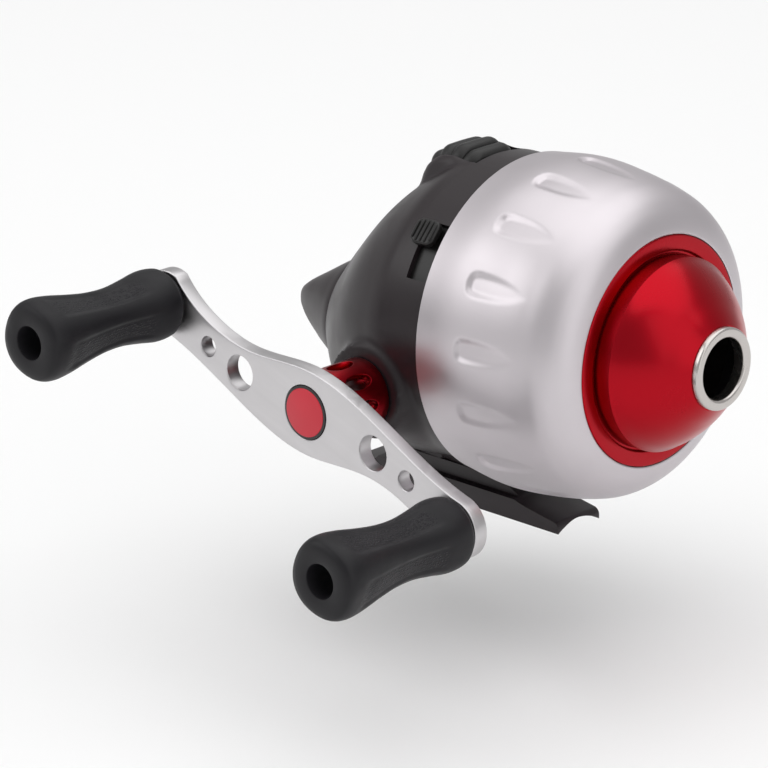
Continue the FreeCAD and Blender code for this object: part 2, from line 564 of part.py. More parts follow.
def make_axle_group():
    shaft = rod("axle_rod", "axle_rad", "axle_tail + axle_nose", along(ON_AXIS, "0 - axle_tail"))
    stop = rod("axle_stop", "3.6", "1.5", along(ON_AXIS, "0 - axle_tail"))
    keep("centre_shaft", fuse("centre_shaft", [shaft, stop]))
    spring_len = "axle_tail - 1.5 - bracket_x - bracket_thick - 1"
    keep("return_spring", tube("return_spring", "3.4", "2.5", spring_len,
                               along(ON_AXIS, "0 - axle_tail + 1.5")))
    skin = turned("head_skin", [
        ("head_rear", "head_rad - head_wall"), ("head_rear", "head_rad", "0.5"),
        ("head_front", "head_rad", "3"), ("head_front", "5"), ("head_front + 2", "5"),
        ("head_front + 2", "axle_rad"), ("head_front - 5", "axle_rad"), ("head_front - 5", "5"),
        ("head_front - 2", "5"), ("head_front - 2", "head_rad - head_wall", "1.5"),
    ], ON_AXIS)
    guide = block("pickup_guide", ("4", "4", "10"), along(ON_AXIS, "pickup_x - 2", "0 - 2", "head_rad - 11"))
    slot_at = along(ON_AXIS, "pickup_x", "0", "head_rad - 12")
    slot = rod("pickup_bore", "pickup_rad + run_gap", "14", slot_at, "z")
    keep("spinner_head", cut("spinner_head", fuse("head_blank", [skin, guide]), [slot]))
    keep("pickup_pin", rod("pickup_pin", "pickup_rad", "pickup_tip - 19",
                           along(ON_AXIS, "pickup_x", "0", "19"), "z"))
    nut = doc.addObject("Part::Prism", "head_nut_blank")
    nut.Polygon = 6
    bind(nut, Circumradius="4", Height="2.5")
    place(nut, along(ON_AXIS, "head_front + 2"), TURNS["x"])
    nut_bore = rod("nut_bore", "axle_rad", "4", along(ON_AXIS, "head_front + 1"))
    keep("head_nut", cut("head_nut", nut, [nut_bore]))


def make_controls():
    button_at = along(ON_AXIS, z="0 - button_drop")
    keep("thumb_button", turned("thumb_button", [
        ("0 - button_tip", "0"), ("0 - button_tip", "button_tip_rad", "1.9"),
        ("0 - body_rear_x - 2.2", "button_rad", "5"), ("0 - axle_tail - 2", "button_rad"),
        ("0 - axle_tail - 2", "button_rad + 0.9"), ("0 - axle_tail - 0.1", "button_rad + 0.9"),
        ("0 - axle_tail - 0.1", "0"),
    ], button_at))
    wheel_at = along(ON_AXIS, "0 - wheel_back", "0 - wheel_width / 2", "wheel_up")
    blank = turned("wheel_blank", [
        ("0", "wheel_axle_rad + run_gap"), ("0", "wheel_rad - wheel_crown", "0.6"),
        ("wheel_width / 2", "wheel_rad", "30"), ("wheel_width", "wheel_rad - wheel_crown", "0.6"),
        ("wheel_width", "wheel_axle_rad + run_gap"),
    ], wheel_at, "y")
    grooves = []
    rib_count = int(size("rib_count"))
    for number in range(rib_count):
        around = 360 * number / rib_count
        at = along(wheel_at, f"wheel_rad * cos({around} deg)", "0 - 1", f"wheel_rad * sin({around} deg)")
        grooves.append(rod(f"rib_groove{number}", "rib_groove_rad", "wheel_width + 2", at, "y"))
    keep("drag_dial", cut("drag_dial", blank, grooves))
    keep("dial_axle", rod("dial_axle", "wheel_axle_rad", "wheel_width + 2 * wheel_axle_seat",
                          along(wheel_at, y="0 - wheel_axle_seat"), "y"))
    pad = sector("switch_pad", "switch_rad", "collar_rad + 0.1", "switch_angle - switch_spread / 2",
                 "switch_spread", "switch_rear", "switch_long")
    leg = sector("switch_leg", "collar_rad + 0.5", "collar_rad - body_wall - 1.2",
                 "switch_angle - switch_leg / 2", "switch_leg", "track_rear - 0.6", "2")
    keep("alert_switch", fuse("alert_switch", [pad, leg]))


def arm_outline():
    """Closed S-shaped edge of the crank arm in its own plane, the same when turned half round."""
    reach, drop = size("knob_reach"), size("knob_drop")
    run = [
        (-reach + 3.5, 6.0 + drop), (-0.64 * reach, 12.2), (-0.42 * reach, 9.6), (0.0, 9.2),
        (0.46 * reach, 2.4), (0.72 * reach, -3.2), (reach + 1.5, 6.2 - drop),
    ]
    tip = V(reach + size("arm_tip"), 0, -drop - 2.4)
    edges = []
    for turn in (1, -1):
        points = [V(turn * x, 0, turn * z) for x, z in run]
        curve = Part.BSplineCurve()
        curve.interpolate(points)
        edges.append(curve.toShape())
        edges.append(Part.Arc(points[-1], tip * turn, points[0] * -1).toShape())
    return Part.Wire(Part.__sortEdges__(edges))


def make_crank():
    keep("crank_shaft", rod("crank_shaft", "shaft_rad", "arm_in + boss_in + 8",
                            along(CRANK_AT, y="boss_in + 8"), "-y"))
    hub_bore = "hub_rad - hub_wall"
    hub = turned("hub_blank", [
        ("hub_in", "shaft_rad"), ("hub_in", "hub_rad", "0.4"), ("arm_in", "hub_rad", "0.6"),
        ("arm_in", "shaft_rad"), ("arm_in - hub_end_wall", "shaft_rad"),
        ("arm_in - hub_end_wall", hub_bore), ("hub_in + hub_end_wall", hub_bore),
        ("hub_in + hub_end_wall", "shaft_rad"),
    ], CRANK_AT, "-y")
    holes = []
    for number in range(int(size("hub_hole_count"))):
        around = 360 * number / size("hub_hole_count")
        hole = doc.addObject("Part::Ellipsoid", f"hub_hole{number}")
        bind(hole, Radius1="2.6", Radius2="3.5", Radius3="1.75")
        middle = along(CRANK_AT, f"hub_rad * cos({around} deg)", "0 - (hub_in + arm_in) / 2",
                       f"hub_rad * sin({around} deg)")
        holes.append(place(hole, middle, FreeCAD.Rotation(V(0, 1, 0), 90 - around)))
    keep("crank_hub", cut("crank_hub", hub, holes))
    arm = Part.Face(arm_outline()).extrude(V(0, -size("arm_thick"), 0))
    holes = [(0.0, 0.0, size("axle_rad"))]
    reach, drop = size("knob_reach"), size("knob_drop")
    for turn in (1, -1):
        holes.append((turn * 0.462 * reach, turn * -0.279 * drop, size("big_hole_rad")))
        holes.append((turn * 0.686 * reach, turn * -0.524 * drop, size("small_hole_rad")))
        holes.append((turn * reach, turn * -drop, size("knob_pin_rad")))
    for x, z, radius in holes:
        arm = arm.cut(Part.makeCylinder(radius, 20, V(x, 10, z), V(0, -1, 0)))
    arm = arm.cut(Part.makeCylinder(size("badge_rad"), 10, V(0, 2 - size("arm_thick"), 0), V(0, -1, 0)))
    solid_piece("handle_arm", arm, along(CRANK_AT, y="0 - arm_in"))
    outer = "arm_in + arm_thick"
    keep("handle_screw", turned("handle_screw", [
        ("arm_in", "0"), ("arm_in", "axle_rad"), (f"{outer} - 2", "axle_rad"), (f"{outer} - 2", "4.4"),
        (f"{outer} - 0.6", "4.4", "0.4"), (f"{outer} - 0.6", "0"),
    ], CRANK_AT, "-y"))
    keep("handle_badge", turned("handle_badge", [
        (f"{outer} - 0.6", "0"), (f"{outer} - 0.6", "badge_rad"), (f"{outer} + 0.4", "badge_rad", "0.3"),
        (f"{outer} + 0.4", "0"),
    ], CRANK_AT, "-y"))
    for name, turn in (("front", "1"), ("rear", "0 - 1")):
        at = along(CRANK_AT, f"({turn}) * knob_reach", "0", f"0 - ({turn}) * knob_drop")
        root = "arm_in + arm_thick + knob_gap"
        keep(f"knob_pin_{name}", turned(f"knob_pin_{name}", [
            ("arm_in", "0"), ("arm_in", "knob_pin_rad"),
            (f"{root} + knob_len - knob_hole_deep + 0.3", "knob_pin_rad"),
            (f"{root} + knob_len - knob_hole_deep + 0.3", "knob_hole_rad - 0.4"),
            (f"{root} + knob_len - knob_hole_deep + 1.6", "knob_hole_rad - 0.4", "0.6"),
            (f"{root} + knob_len - knob_hole_deep + 1.6", "0"),
        ], at, "-y"))
        keep(f"knob_{name}", turned(f"knob_{name}", [
            (root, "knob_pin_rad + run_gap"), (root, "knob_root_rad", "1.4"),
            (f"{root} + knob_len * 0.3", "knob_waist_rad", "30"),
            (f"{root} + knob_len * 0.62", "knob_waist_rad + 1.2", "30"),
            (f"{root} + knob_len", "knob_end_rad + 0.4", "1.8"), (f"{root} + knob_len", "knob_hole_rad"),
            (f"{root} + knob_len - knob_hole_deep", "knob_hole_rad"),
            (f"{root} + knob_len - knob_hole_deep", "knob_pin_rad + run_gap"),
        ], at, "-y"))


for build_group in (make_front_cover, make_nose, make_housing, make_foot, make_deck, make_bearings,
                    make_spool_group, make_gears, make_axle_group, make_controls, make_crank):
    build_group()
doc.recompute()

faults = [f"{item.Label}: {item.State}" for item in doc.Objects if {"Invalid", "Error"} & set(item.State)]
for node, piece in NODES.items():
    if piece.Shape.isNull() or not piece.Shape.isValid() or not piece.Shape.Solids:
        faults.append(f"{node}: shape is null, invalid or has no solid")
if faults:
    raise RuntimeError("; ".join(faults))

os.makedirs("parts", exist_ok=True)
for node, piece in NODES.items():
    piece.Shape.exportStep(f"parts/{node}.step")
    print(f"{node}: {len(piece.Shape.Solids)} solid(s), {piece.Shape.Volume:.1f} mm3")
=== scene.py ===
"""Looks of the closed-face spincast reel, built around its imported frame.

Every class below is one sub-assembly of the reel. Its fields are sizes in millimetres; places
along the reel axis are measured from the cover's rear rim, and angles about it are counted
up from the crank side. Meshes are shaped in millimetres and finished in metres, in the row
frame. Camera, lamps and floor are placed in metres.
"""
from __future__ import annotations

import logging
import math
from dataclasses import dataclass
from enum import Enum
from typing import Callable, Iterable, Sequence

import bmesh
import bpy
import numpy as np
from mathutils import Matrix, Vector

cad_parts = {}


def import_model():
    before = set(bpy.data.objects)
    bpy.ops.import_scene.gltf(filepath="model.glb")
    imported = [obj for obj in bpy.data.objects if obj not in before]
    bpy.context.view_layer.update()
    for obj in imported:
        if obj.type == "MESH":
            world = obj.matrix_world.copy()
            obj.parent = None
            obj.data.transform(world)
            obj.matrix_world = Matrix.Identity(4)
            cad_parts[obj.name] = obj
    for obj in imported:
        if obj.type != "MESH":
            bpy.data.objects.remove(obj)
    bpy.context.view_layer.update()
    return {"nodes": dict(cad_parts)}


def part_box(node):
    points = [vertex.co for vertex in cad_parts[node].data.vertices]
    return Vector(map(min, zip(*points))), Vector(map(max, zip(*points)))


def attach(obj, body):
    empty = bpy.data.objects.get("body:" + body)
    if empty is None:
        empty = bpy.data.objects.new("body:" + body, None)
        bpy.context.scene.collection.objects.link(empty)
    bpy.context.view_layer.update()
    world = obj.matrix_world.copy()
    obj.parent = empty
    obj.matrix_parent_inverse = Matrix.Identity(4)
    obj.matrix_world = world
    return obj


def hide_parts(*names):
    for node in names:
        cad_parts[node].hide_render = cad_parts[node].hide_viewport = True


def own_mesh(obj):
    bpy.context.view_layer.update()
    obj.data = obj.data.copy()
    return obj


MM = 0.001
TURN = 2 * math.pi
MERGE = 1e-4
NODE_MERGE = 2e-3
SEAM_MERGE = 0.01
FLAT_DEG = 1.0
HARD_EDGE = math.radians(50)
CAMERA_SIDE_DEG = 43.3
CAMERA_RISE_DEG = 19.2
CAMERA_DISTANCE = 0.90
CAMERA_AIM = Vector((0.0015, -0.0290, 0.0320))
KNOB_TURN_DEG = -20.0
LOG = logging.getLogger("reel")

Corner = tuple[float, ...]
Profile = tuple[tuple[float, float], ...]
Mesh = bmesh.types.BMesh
Socket = bpy.types.NodeSocket


class Axis(Enum):
    """Where the X axis of a turned piece's profile points in the row frame."""

    TO_CRANK = Matrix.Rotation(-math.pi / 2, 3, "Z")
    FROM_CRANK = Matrix.Rotation(math.pi / 2, 3, "Z")


class Ends(Enum):
    """What closes the two end loops of a bridged skin."""

    FILLED = "filled"
    BRIDGED = "bridged"
    OPEN = "open"


@dataclass(frozen=True)
class Datum:
    """Places that the frame gives, in millimetres.

    Args:
        rim: row X of the cover's rear rim.
        up: row Z of the reel axis.
        crank: row X and Z of the crank axis.
        knob: row X and Z of the front knob's axis.
        rear_knob: row X and Z of the rear knob's axis.
    """

    rim: float
    up: float
    crank: tuple[float, float]
    knob: tuple[float, float]
    rear_knob: tuple[float, float]

    @classmethod
    def from_frame(cls) -> "Datum":
        """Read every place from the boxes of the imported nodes.

        Returns:
            The datum places of this reel.
        """
        low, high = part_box("front_cover")
        return cls(
            rim=low.x / MM,
            up=(low.z + high.z) / 2 / MM,
            crank=cls.middle("crank_shaft"),
            knob=cls.middle("knob_front"),
            rear_knob=cls.middle("knob_rear"),
        )

    @staticmethod
    def middle(node: str) -> tuple[float, float]:
        """Row X and Z of the middle of a node's box, in millimetres."""
        low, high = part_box(node)
        return (low.x + high.x) / 2 / MM, (low.z + high.z) / 2 / MM

    def on_axis(self, along: float = 0.0, side: float = 0.0, rise: float = 0.0) -> Vector:
        """Point measured from the rim's centre, in row millimetres."""
        return Vector((self.rim + along, side, self.up + rise))

    def at_crank(self) -> Vector:
        """Point of the crank axis above the row's origin line."""
        return Vector((self.crank[0], 0.0, self.crank[1]))


class Shop:
    """Mesh tools that every sub-assembly shares; all of them work in millimetres."""

    @staticmethod
    def outline(bm: Mesh, corners: Sequence[Corner], closed: bool, segments: int = 5) -> list:
        """Lay a profile in the XY plane and round the corners that carry a rounding width.

        Args:
            bm: mesh to add the profile to.
            corners: (along, radius) or (along, radius, rounding width) values.
            closed: whether the last corner runs back to the first.
            segments: straight pieces in each rounded corner.

        Returns:
            All vertices and edges of the profile.
        """
        verts = [bm.verts.new((corner[0], corner[1], 0.0)) for corner in corners]
        pairs = list(zip(verts, verts[1:]))
        if closed:
            pairs.append((verts[-1], verts[0]))
        edges = [bm.edges.new(pair) for pair in pairs]
        widths = sorted({corner[2] for corner in corners if len(corner) > 2})
        for width in widths:
            picked = [v for v, corner in zip(verts, corners) if len(corner) > 2 and corner[2] == width]
            bmesh.ops.bevel(
                bm, geom=picked, offset=width, offset_type="OFFSET", segments=segments, profile=0.5,
                affect="VERTICES", material=-1, clamp_overlap=True,
            )
        return bm.verts[:] + bm.edges[:]

    @staticmethod
    def spin(corners: Sequence[Corner], steps: int = 160, closed: bool = True, segments: int = 5) -> Mesh:
        """Turn a profile about the X axis into a solid of revolution.

        Args:
            corners: (along, radius[, rounding]) values; open profiles start and end at radius 0.
            steps: faces around the piece.
            closed: whether the profile is a loop clear of the axis.
            segments: straight pieces in each rounded corner.

        Returns:
            A new mesh in profile coordinates, its faces pointing outwards.
        """
        bm = bmesh.new()
        geom = Shop.outline(bm, corners, closed, segments)
        bmesh.ops.spin(
            bm, geom=geom, cent=(0, 0, 0), axis=(1, 0, 0), angle=TURN, steps=steps, use_merge=True,
            use_duplicate=False,
        )
        bmesh.ops.remove_doubles(bm, verts=bm.verts[:], dist=MERGE)
        bmesh.ops.recalc_face_normals(bm, faces=bm.faces[:])
        return bm

    @staticmethod
    def box(size: Vector, rounding: float = 0.0, segments: int = 3) -> Mesh:
        """Box centred on the origin with rounded edges.

        Args:
            size: length along each axis.
            rounding: width of the rounded edges, 0 for sharp ones.
            segments: faces across each rounding.

        Returns:
            The box as a new mesh.
        """
        bm = bmesh.new()
        bmesh.ops.create_cube(bm, size=1.0)
        bmesh.ops.scale(bm, vec=size, verts=bm.verts[:])
        if rounding:
            bmesh.ops.bevel(
                bm, geom=bm.edges[:], offset=rounding, offset_type="OFFSET", segments=segments,
                profile=0.5, affect="EDGES", material=-1,
            )
        return bm

    @staticmethod
    def rings(loops: Sequence[Callable[[float], Vector]], around: int, ends: Ends = Ends.FILLED) -> Mesh:
        """Bridge a row of closed loops into one skin.

        Args:
            loops: for each loop, the point at an angle in radians.
            around: vertices in each loop.
            ends: whether the end loops are filled, bridged to each other or left open.

        Returns:
            A mesh with its faces pointing outwards.
        """
        bm = bmesh.new()
        edge_loops = []
        for loop in loops:
            made = bmesh.ops.create_circle(bm, segments=around, radius=1.0, cap_ends=False)
            for number, vert in enumerate(made["verts"]):
                vert.co = loop(TURN * number / around)
            members = set(made["verts"])
            edges = {edge for vert in members for edge in vert.link_edges if set(edge.verts) <= members}
            edge_loops.append(list(edges))
        for first, second in zip(edge_loops, edge_loops[1:]):
            bmesh.ops.bridge_loops(bm, edges=first + second)
        if ends is Ends.FILLED:
            for loop_edges in (edge_loops[0], edge_loops[-1]):
                bmesh.ops.edgeloop_fill(bm, edges=loop_edges)
        elif ends is Ends.BRIDGED:
            bmesh.ops.bridge_loops(bm, edges=edge_loops[-1] + edge_loops[0])
        bmesh.ops.recalc_face_normals(bm, faces=bm.faces[:])
        return bm

    @staticmethod
    def move(bm: Mesh, shift: Vector = Vector(), turn: Matrix | None = None) -> Mesh:
        """Turn a mesh about the origin, then shift it.

        Args:
            bm: mesh to move.
            shift: distance, made last.
            turn: rotation, made first.

        Returns:
            The same mesh.
        """
        if turn is not None:
            bmesh.ops.transform(bm, matrix=turn.to_4x4(), verts=bm.verts[:])
        bmesh.ops.translate(bm, vec=shift, verts=bm.verts[:])
        return bm

    @staticmethod
    def join(parts: Iterable[Mesh]) -> Mesh:
        """Put several meshes into one, as loose shells, and free the originals.

        Args:
            parts: meshes to put together.

        Returns:
            One mesh that holds them all.
        """
        whole = bmesh.new()
        for part in parts:
            carrier = bpy.data.meshes.new("carrier")
            part.to_mesh(carrier)
            part.free()
            whole.from_mesh(carrier)
            bpy.data.meshes.remove(carrier)
        return whole

    @staticmethod
    def soften(node: str, width: float, sharp_deg: float = 35.0, segments: int = 2) -> Mesh:
        """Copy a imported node's mesh, merge it and round its sharp edges.

        Args:
            node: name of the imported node.
            width: rounding width in millimetres.
            sharp_deg: edges that turn by more than this are rounded.
            segments: faces across each rounding.

        Returns:
            The rounded copy in millimetres.
        """
        bm = bmesh.new()
        bm.from_mesh(bpy.data.objects[node].data)
        bmesh.ops.scale(bm, vec=(1 / MM,) * 3, verts=bm.verts[:])
        bmesh.ops.remove_doubles(bm, verts=bm.verts[:], dist=NODE_MERGE)
        bmesh.ops.dissolve_limit(
            bm, angle_limit=math.radians(FLAT_DEG), verts=bm.verts[:], edges=bm.edges[:]
        )
        limit = math.radians(sharp_deg)
        folded = [edge for edge in bm.edges if len(edge.link_faces) == 2]
        sharp = [edge for edge in folded if edge.calc_face_angle(0.0) > limit]
        bmesh.ops.bevel(
            bm, geom=sharp, offset=width, offset_type="OFFSET", segments=segments, profile=0.5,
            affect="EDGES", material=-1, clamp_overlap=True,
        )
        bmesh.ops.triangulate(bm, faces=[face for face in bm.faces if len(face.verts) > 4])
        return bm

    @staticmethod
    def finish(bm: Mesh, name: str, body: str, material: bpy.types.Material, smooth_deg: float = 35.0,
               replaces: Sequence[str] = (), slot: str = "",
               second: bpy.types.Material | None = None) -> bpy.types.Object:
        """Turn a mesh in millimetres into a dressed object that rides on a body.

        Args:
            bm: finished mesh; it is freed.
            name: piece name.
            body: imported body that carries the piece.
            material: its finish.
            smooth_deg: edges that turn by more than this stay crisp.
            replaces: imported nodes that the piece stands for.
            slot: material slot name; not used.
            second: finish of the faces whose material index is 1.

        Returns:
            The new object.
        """
        bmesh.ops.scale(bm, vec=(MM,) * 3, verts=bm.verts[:])
        for face in bm.faces:
            face.smooth = True
        limit = math.radians(smooth_deg)
        for edge in bm.edges:
            edge.smooth = len(edge.link_faces) == 2 and edge.calc_face_angle(0.0) < limit
        open_edges = sum(len(edge.link_faces) != 2 for edge in bm.edges)
        mesh = bpy.data.meshes.new(name)
        bm.to_mesh(mesh)
        bm.free()
        mesh.materials.append(material)
        if second is not None:
            mesh.materials.append(second)
        piece = bpy.data.objects.new(name, mesh)
        bpy.context.scene.collection.objects.link(piece)
        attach(piece, body)
        if replaces:
            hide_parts(*replaces)
        LOG.info("%s: %d faces, %d open edges, on %s", name, len(mesh.polygons), open_edges, body)
        return piece


class Sheet:
    """Short way to write a node tree."""

    def __init__(self, tree: bpy.types.NodeTree) -> None:
        """Keep the tree that the nodes go into."""
        self.tree = tree

    def add(self, kind: str, links: dict | None = None, **settings: object) -> bpy.types.Node:
        """Make a node, set its properties and feed its inputs.

        Args:
            kind: node type name.
            links: input name or number mapped to a socket or a constant.
            settings: node properties.

        Returns:
            The new node.
        """
        node = self.tree.nodes.new(kind)
        for name, value in settings.items():
            setattr(node, name, value)
        for key, value in (links or {}).items():
            if isinstance(value, bpy.types.NodeSocket):
                self.tree.links.new(value, node.inputs[key])
            else:
                node.inputs[key].default_value = value
        return node

    def math(self, operation: str, first: Socket | float, second: Socket | float = 0.0) -> Socket:
        """One arithmetic step between sockets or constants."""
        return self.add("ShaderNodeMath", {0: first, 1: second}, operation=operation).outputs[0]

    def blend(self, share: Socket | float, low: Socket | tuple, high: Socket | tuple) -> Socket:
        """Mix two colours by a share.

        Args:
            share: part of the second colour.
            low: colour at share 0.
            high: colour at share 1.

        Returns:
            The mixed colour.
        """
        node = self.add("ShaderNodeMix", data_type="RGBA")
        for key, value in ((0, share), (6, low), (7, high)):
            if isinstance(value, bpy.types.NodeSocket):
                self.tree.links.new(value, node.inputs[key])
            else:
                node.inputs[key].default_value = value
        return node.outputs[2]

    def spread(self, value: Socket, low: float, high: float, to_low: float, to_high: float) -> Socket:
        """Map a value from one range to another, clamped."""
        return self.add("ShaderNodeMapRange", {0: value, 1: low, 2: high, 3: to_low, 4: to_high}).outputs[0]


class Effects:
    """Node groups that several finishes share, each built once."""

    def __init__(self) -> None:
        """Build the groups."""
        self.grain = self._grain()
        self.lines = self._lines()
        self.handling = self._handling()

    @staticmethod
    def _group(name: str, inputs: Sequence[tuple], outputs: Sequence[str]) -> tuple:
        """Start a group with named sockets.

        Args:
            name: group name.
            inputs: (name, socket type, default) of each input.
            outputs: names of the float outputs.

        Returns:
            The group tree, a sheet on it, and its input and output nodes.
        """
        tree = bpy.data.node_groups.new(name, "ShaderNodeTree")
        for label, kind, default in inputs:
            socket = tree.interface.new_socket(name=label, in_out="INPUT", socket_type=kind)
            if default is not None:
                socket.default_value = default
        for label in outputs:
            tree.interface.new_socket(name=label, in_out="OUTPUT", socket_type="NodeSocketFloat")
        sheet = Sheet(tree)
        return tree, sheet, sheet.add("NodeGroupInput"), sheet.add("NodeGroupOutput")

    def _grain(self) -> bpy.types.NodeTree:
        """Fine moulded or blasted grain: a height and a slow colour drift.

        Returns:
            The group.
        """
        tree, sheet, source, target = self._group(
            "fine_grain",
            [("Vector", "NodeSocketVector", None), ("Scale", "NodeSocketFloat", 4000.0)],
            ["Height", "Drift"],
        )
        vector, scale = source.outputs["Vector"], source.outputs["Scale"]
        pores = sheet.add(
            "ShaderNodeTexNoise", {"Vector": vector, "Scale": scale, "Detail": 3.0, "Roughness": 0.6}
        )
        coarse_scale = sheet.math("MULTIPLY", scale, 0.02)
        slow = sheet.add("ShaderNodeTexNoise", {"Vector": vector, "Scale": coarse_scale, "Detail": 2.0})
        tree.links.new(pores.outputs["Fac"], target.inputs["Height"])
        tree.links.new(slow.outputs["Fac"], target.inputs["Drift"])
        return tree

    def _lines(self) -> bpy.types.NodeTree:
        """Long thin tool marks along one direction of the given vector.

        Returns:
            The group.
        """
        tree, sheet, source, target = self._group(
            "tool_lines",
            [
                ("Vector", "NodeSocketVector", None), ("Across", "NodeSocketFloat", 3000.0),
                ("Along", "NodeSocketFloat", 20.0),
            ],
            ["Height", "Streak"],
        )
        parts = sheet.add("ShaderNodeSeparateXYZ", {0: source.outputs["Vector"]})
        along = sheet.math("MULTIPLY", parts.outputs["X"], source.outputs["Along"])
        across = sheet.math("MULTIPLY", parts.outputs["Y"], source.outputs["Across"])
        depth = sheet.math("MULTIPLY", parts.outputs["Z"], source.outputs["Across"])
        spot = sheet.add("ShaderNodeCombineXYZ", {0: along, 1: across, 2: depth}).outputs[0]
        fine = sheet.add("ShaderNodeTexNoise", {"Vector": spot, "Scale": 1.0, "Detail": 2.0})
        wide = sheet.add("ShaderNodeTexNoise", {"Vector": spot, "Scale": 0.17, "Detail": 1.0})
        tree.links.new(fine.outputs["Fac"], target.inputs["Height"])
        tree.links.new(wide.outputs["Fac"], target.inputs["Streak"])
        return tree

    def _handling(self) -> bpy.types.NodeTree:
        """Faint smudges and rubbed patches left by hands.

        Returns:
            The group.
        """
        tree, sheet, source, target = self._group(
            "handling_marks",
            [("Vector", "NodeSocketVector", None), ("Scale", "NodeSocketFloat", 90.0)],
            ["Smudge"],
        )
        noise = sheet.add(
            "ShaderNodeTexNoise",
            {
                "Vector": source.outputs["Vector"], "Scale": source.outputs["Scale"], "Detail": 5.0,
                "Distortion": 0.6,
            },
        )
        smudge = sheet.spread(noise.outputs["Fac"], 0.38, 0.68, 0.0, 1.0)
        tree.links.new(smudge, target.inputs["Smudge"])
        return tree


class Coating:
    """Starts a material: object coordinates, a Principled shader and its groups."""

    def __init__(self, name: str, effects: Effects) -> None:
        """Open a new node material.

        Args:
            name: material name.
            effects: shared node groups.
        """
        self.effects = effects
        self.material = bpy.data.materials.new(name)
        self.material.use_nodes = True
        self.sheet = Sheet(self.material.node_tree)
        self.shader = self.material.node_tree.nodes["Principled BSDF"]
        self.place = self.sheet.add("ShaderNodeTexCoord").outputs["Object"]

    def group(self, tree: bpy.types.NodeTree, **values: object) -> bpy.types.Node:
        """Place a shared group and set its inputs.

        Args:
            tree: the group.
            values: input name mapped to a socket or a constant.

        Returns:
            The placed node.
        """
        node = self.sheet.add("ShaderNodeGroup", node_tree=tree)
        for key, value in values.items():
            if isinstance(value, bpy.types.NodeSocket):
                self.sheet.tree.links.new(value, node.inputs[key])
            else:
                node.inputs[key].default_value = value
        return node

    def feed(self, key: str, value: object) -> None:
        """Link a socket to, or set a constant on, one of the shader's inputs.

        Args:
            key: input name.
            value: socket or constant.
        """
        if isinstance(value, bpy.types.NodeSocket):
            self.sheet.tree.links.new(value, self.shader.inputs[key])
        else:
            self.shader.inputs[key].default_value = value

    def bump(self, height: Socket, depth_mm: float, strength: float = 1.0) -> None:
        """Drive the shader's normal from a height in parts of a millimetre.

        Args:
            height: height between 0 and 1.
            depth_mm: real depth of a height of 1.
            strength: how strongly the bump shows.
        """
        node = self.sheet.add(
            "ShaderNodeBump", {"Height": height, "Distance": depth_mm * MM, "Strength": strength}
        )
        self.feed("Normal", node.outputs["Normal"])


def shade(colour: tuple[float, float, float], factor: float) -> tuple[float, float, float, float]:
    """Scale a colour and add a full alpha."""
    return (colour[0] * factor, colour[1] * factor, colour[2] * factor, 1.0)


@dataclass(frozen=True)
class CastMetal:
    """Satin metal with a very fine blasted or turned grain."""

    name: str
    colour: tuple[float, float, float]
    roughness: float = 0.3
    spread: float = 0.06
    grain_scale: float = 2600.0
    grain_mm: float = 0.004
    coat: float = 0.0

    def make(self, effects: Effects) -> bpy.types.Material:
        """Build the material.

        Args:
            effects: shared node groups.

        Returns:
            The finished material.
        """
        coating = Coating(self.name, effects)
        grain = coating.group(effects.grain, Vector=coating.place, Scale=self.grain_scale)
        marks = coating.group(effects.handling, Vector=coating.place, Scale=70.0)
        sheet = coating.sheet
        tone = sheet.blend(grain.outputs["Drift"], shade(self.colour, 0.95), shade(self.colour, 1.04))
        coating.feed("Base Color", tone)
        coating.feed("Metallic", 1.0)
        worn = self.roughness + self.spread
        rough = sheet.spread(marks.outputs["Smudge"], 0.0, 1.0, self.roughness, worn)
        coating.feed("Roughness", rough)
        coating.bump(grain.outputs["Height"], self.grain_mm)
        if self.coat:
            coating.feed("Coat Weight", self.coat)
            coating.feed("Coat Roughness", 0.12)
        return coating.material


@dataclass(frozen=True)
class BrushedMetal:
    """Metal brushed or turned in lines along one axis of its own space."""

    name: str
    colour: tuple[float, float, float]
    turn: tuple[float, float, float] = (0.0, 0.0, 0.0)
    roughness: float = 0.28
    across: float = 2200.0
    along: float = 30.0
    depth_mm: float = 0.006
    streaks: float = 0.08

    def make(self, effects: Effects) -> bpy.types.Material:
        """Build the material.

        Args:
            effects: shared node groups.

        Returns:
            The finished material.
        """
        coating = Coating(self.name, effects)
        sheet = coating.sheet
        turned = sheet.add("ShaderNodeMapping", {"Vector": coating.place, "Rotation": self.turn}).outputs[0]
        lines = coating.group(effects.lines, Vector=turned, Across=self.across, Along=self.along)
        marks = coating.group(effects.handling, Vector=coating.place, Scale=110.0)
        dark, light = shade(self.colour, 1.0 - self.streaks), shade(self.colour, 1.0 + 0.7 * self.streaks)
        tone = sheet.blend(lines.outputs["Streak"], dark, light)
        coating.feed("Base Color", tone)
        coating.feed("Metallic", 1.0)
        low, high = self.roughness - 0.05, self.roughness + 0.08
        streak = sheet.spread(lines.outputs["Streak"], 0.3, 0.7, low, high)
        rough = sheet.math("ADD", streak, sheet.math("MULTIPLY", marks.outputs["Smudge"], 0.05))
        coating.feed("Roughness", rough)
        coating.bump(lines.outputs["Height"], self.depth_mm)
        return coating.material


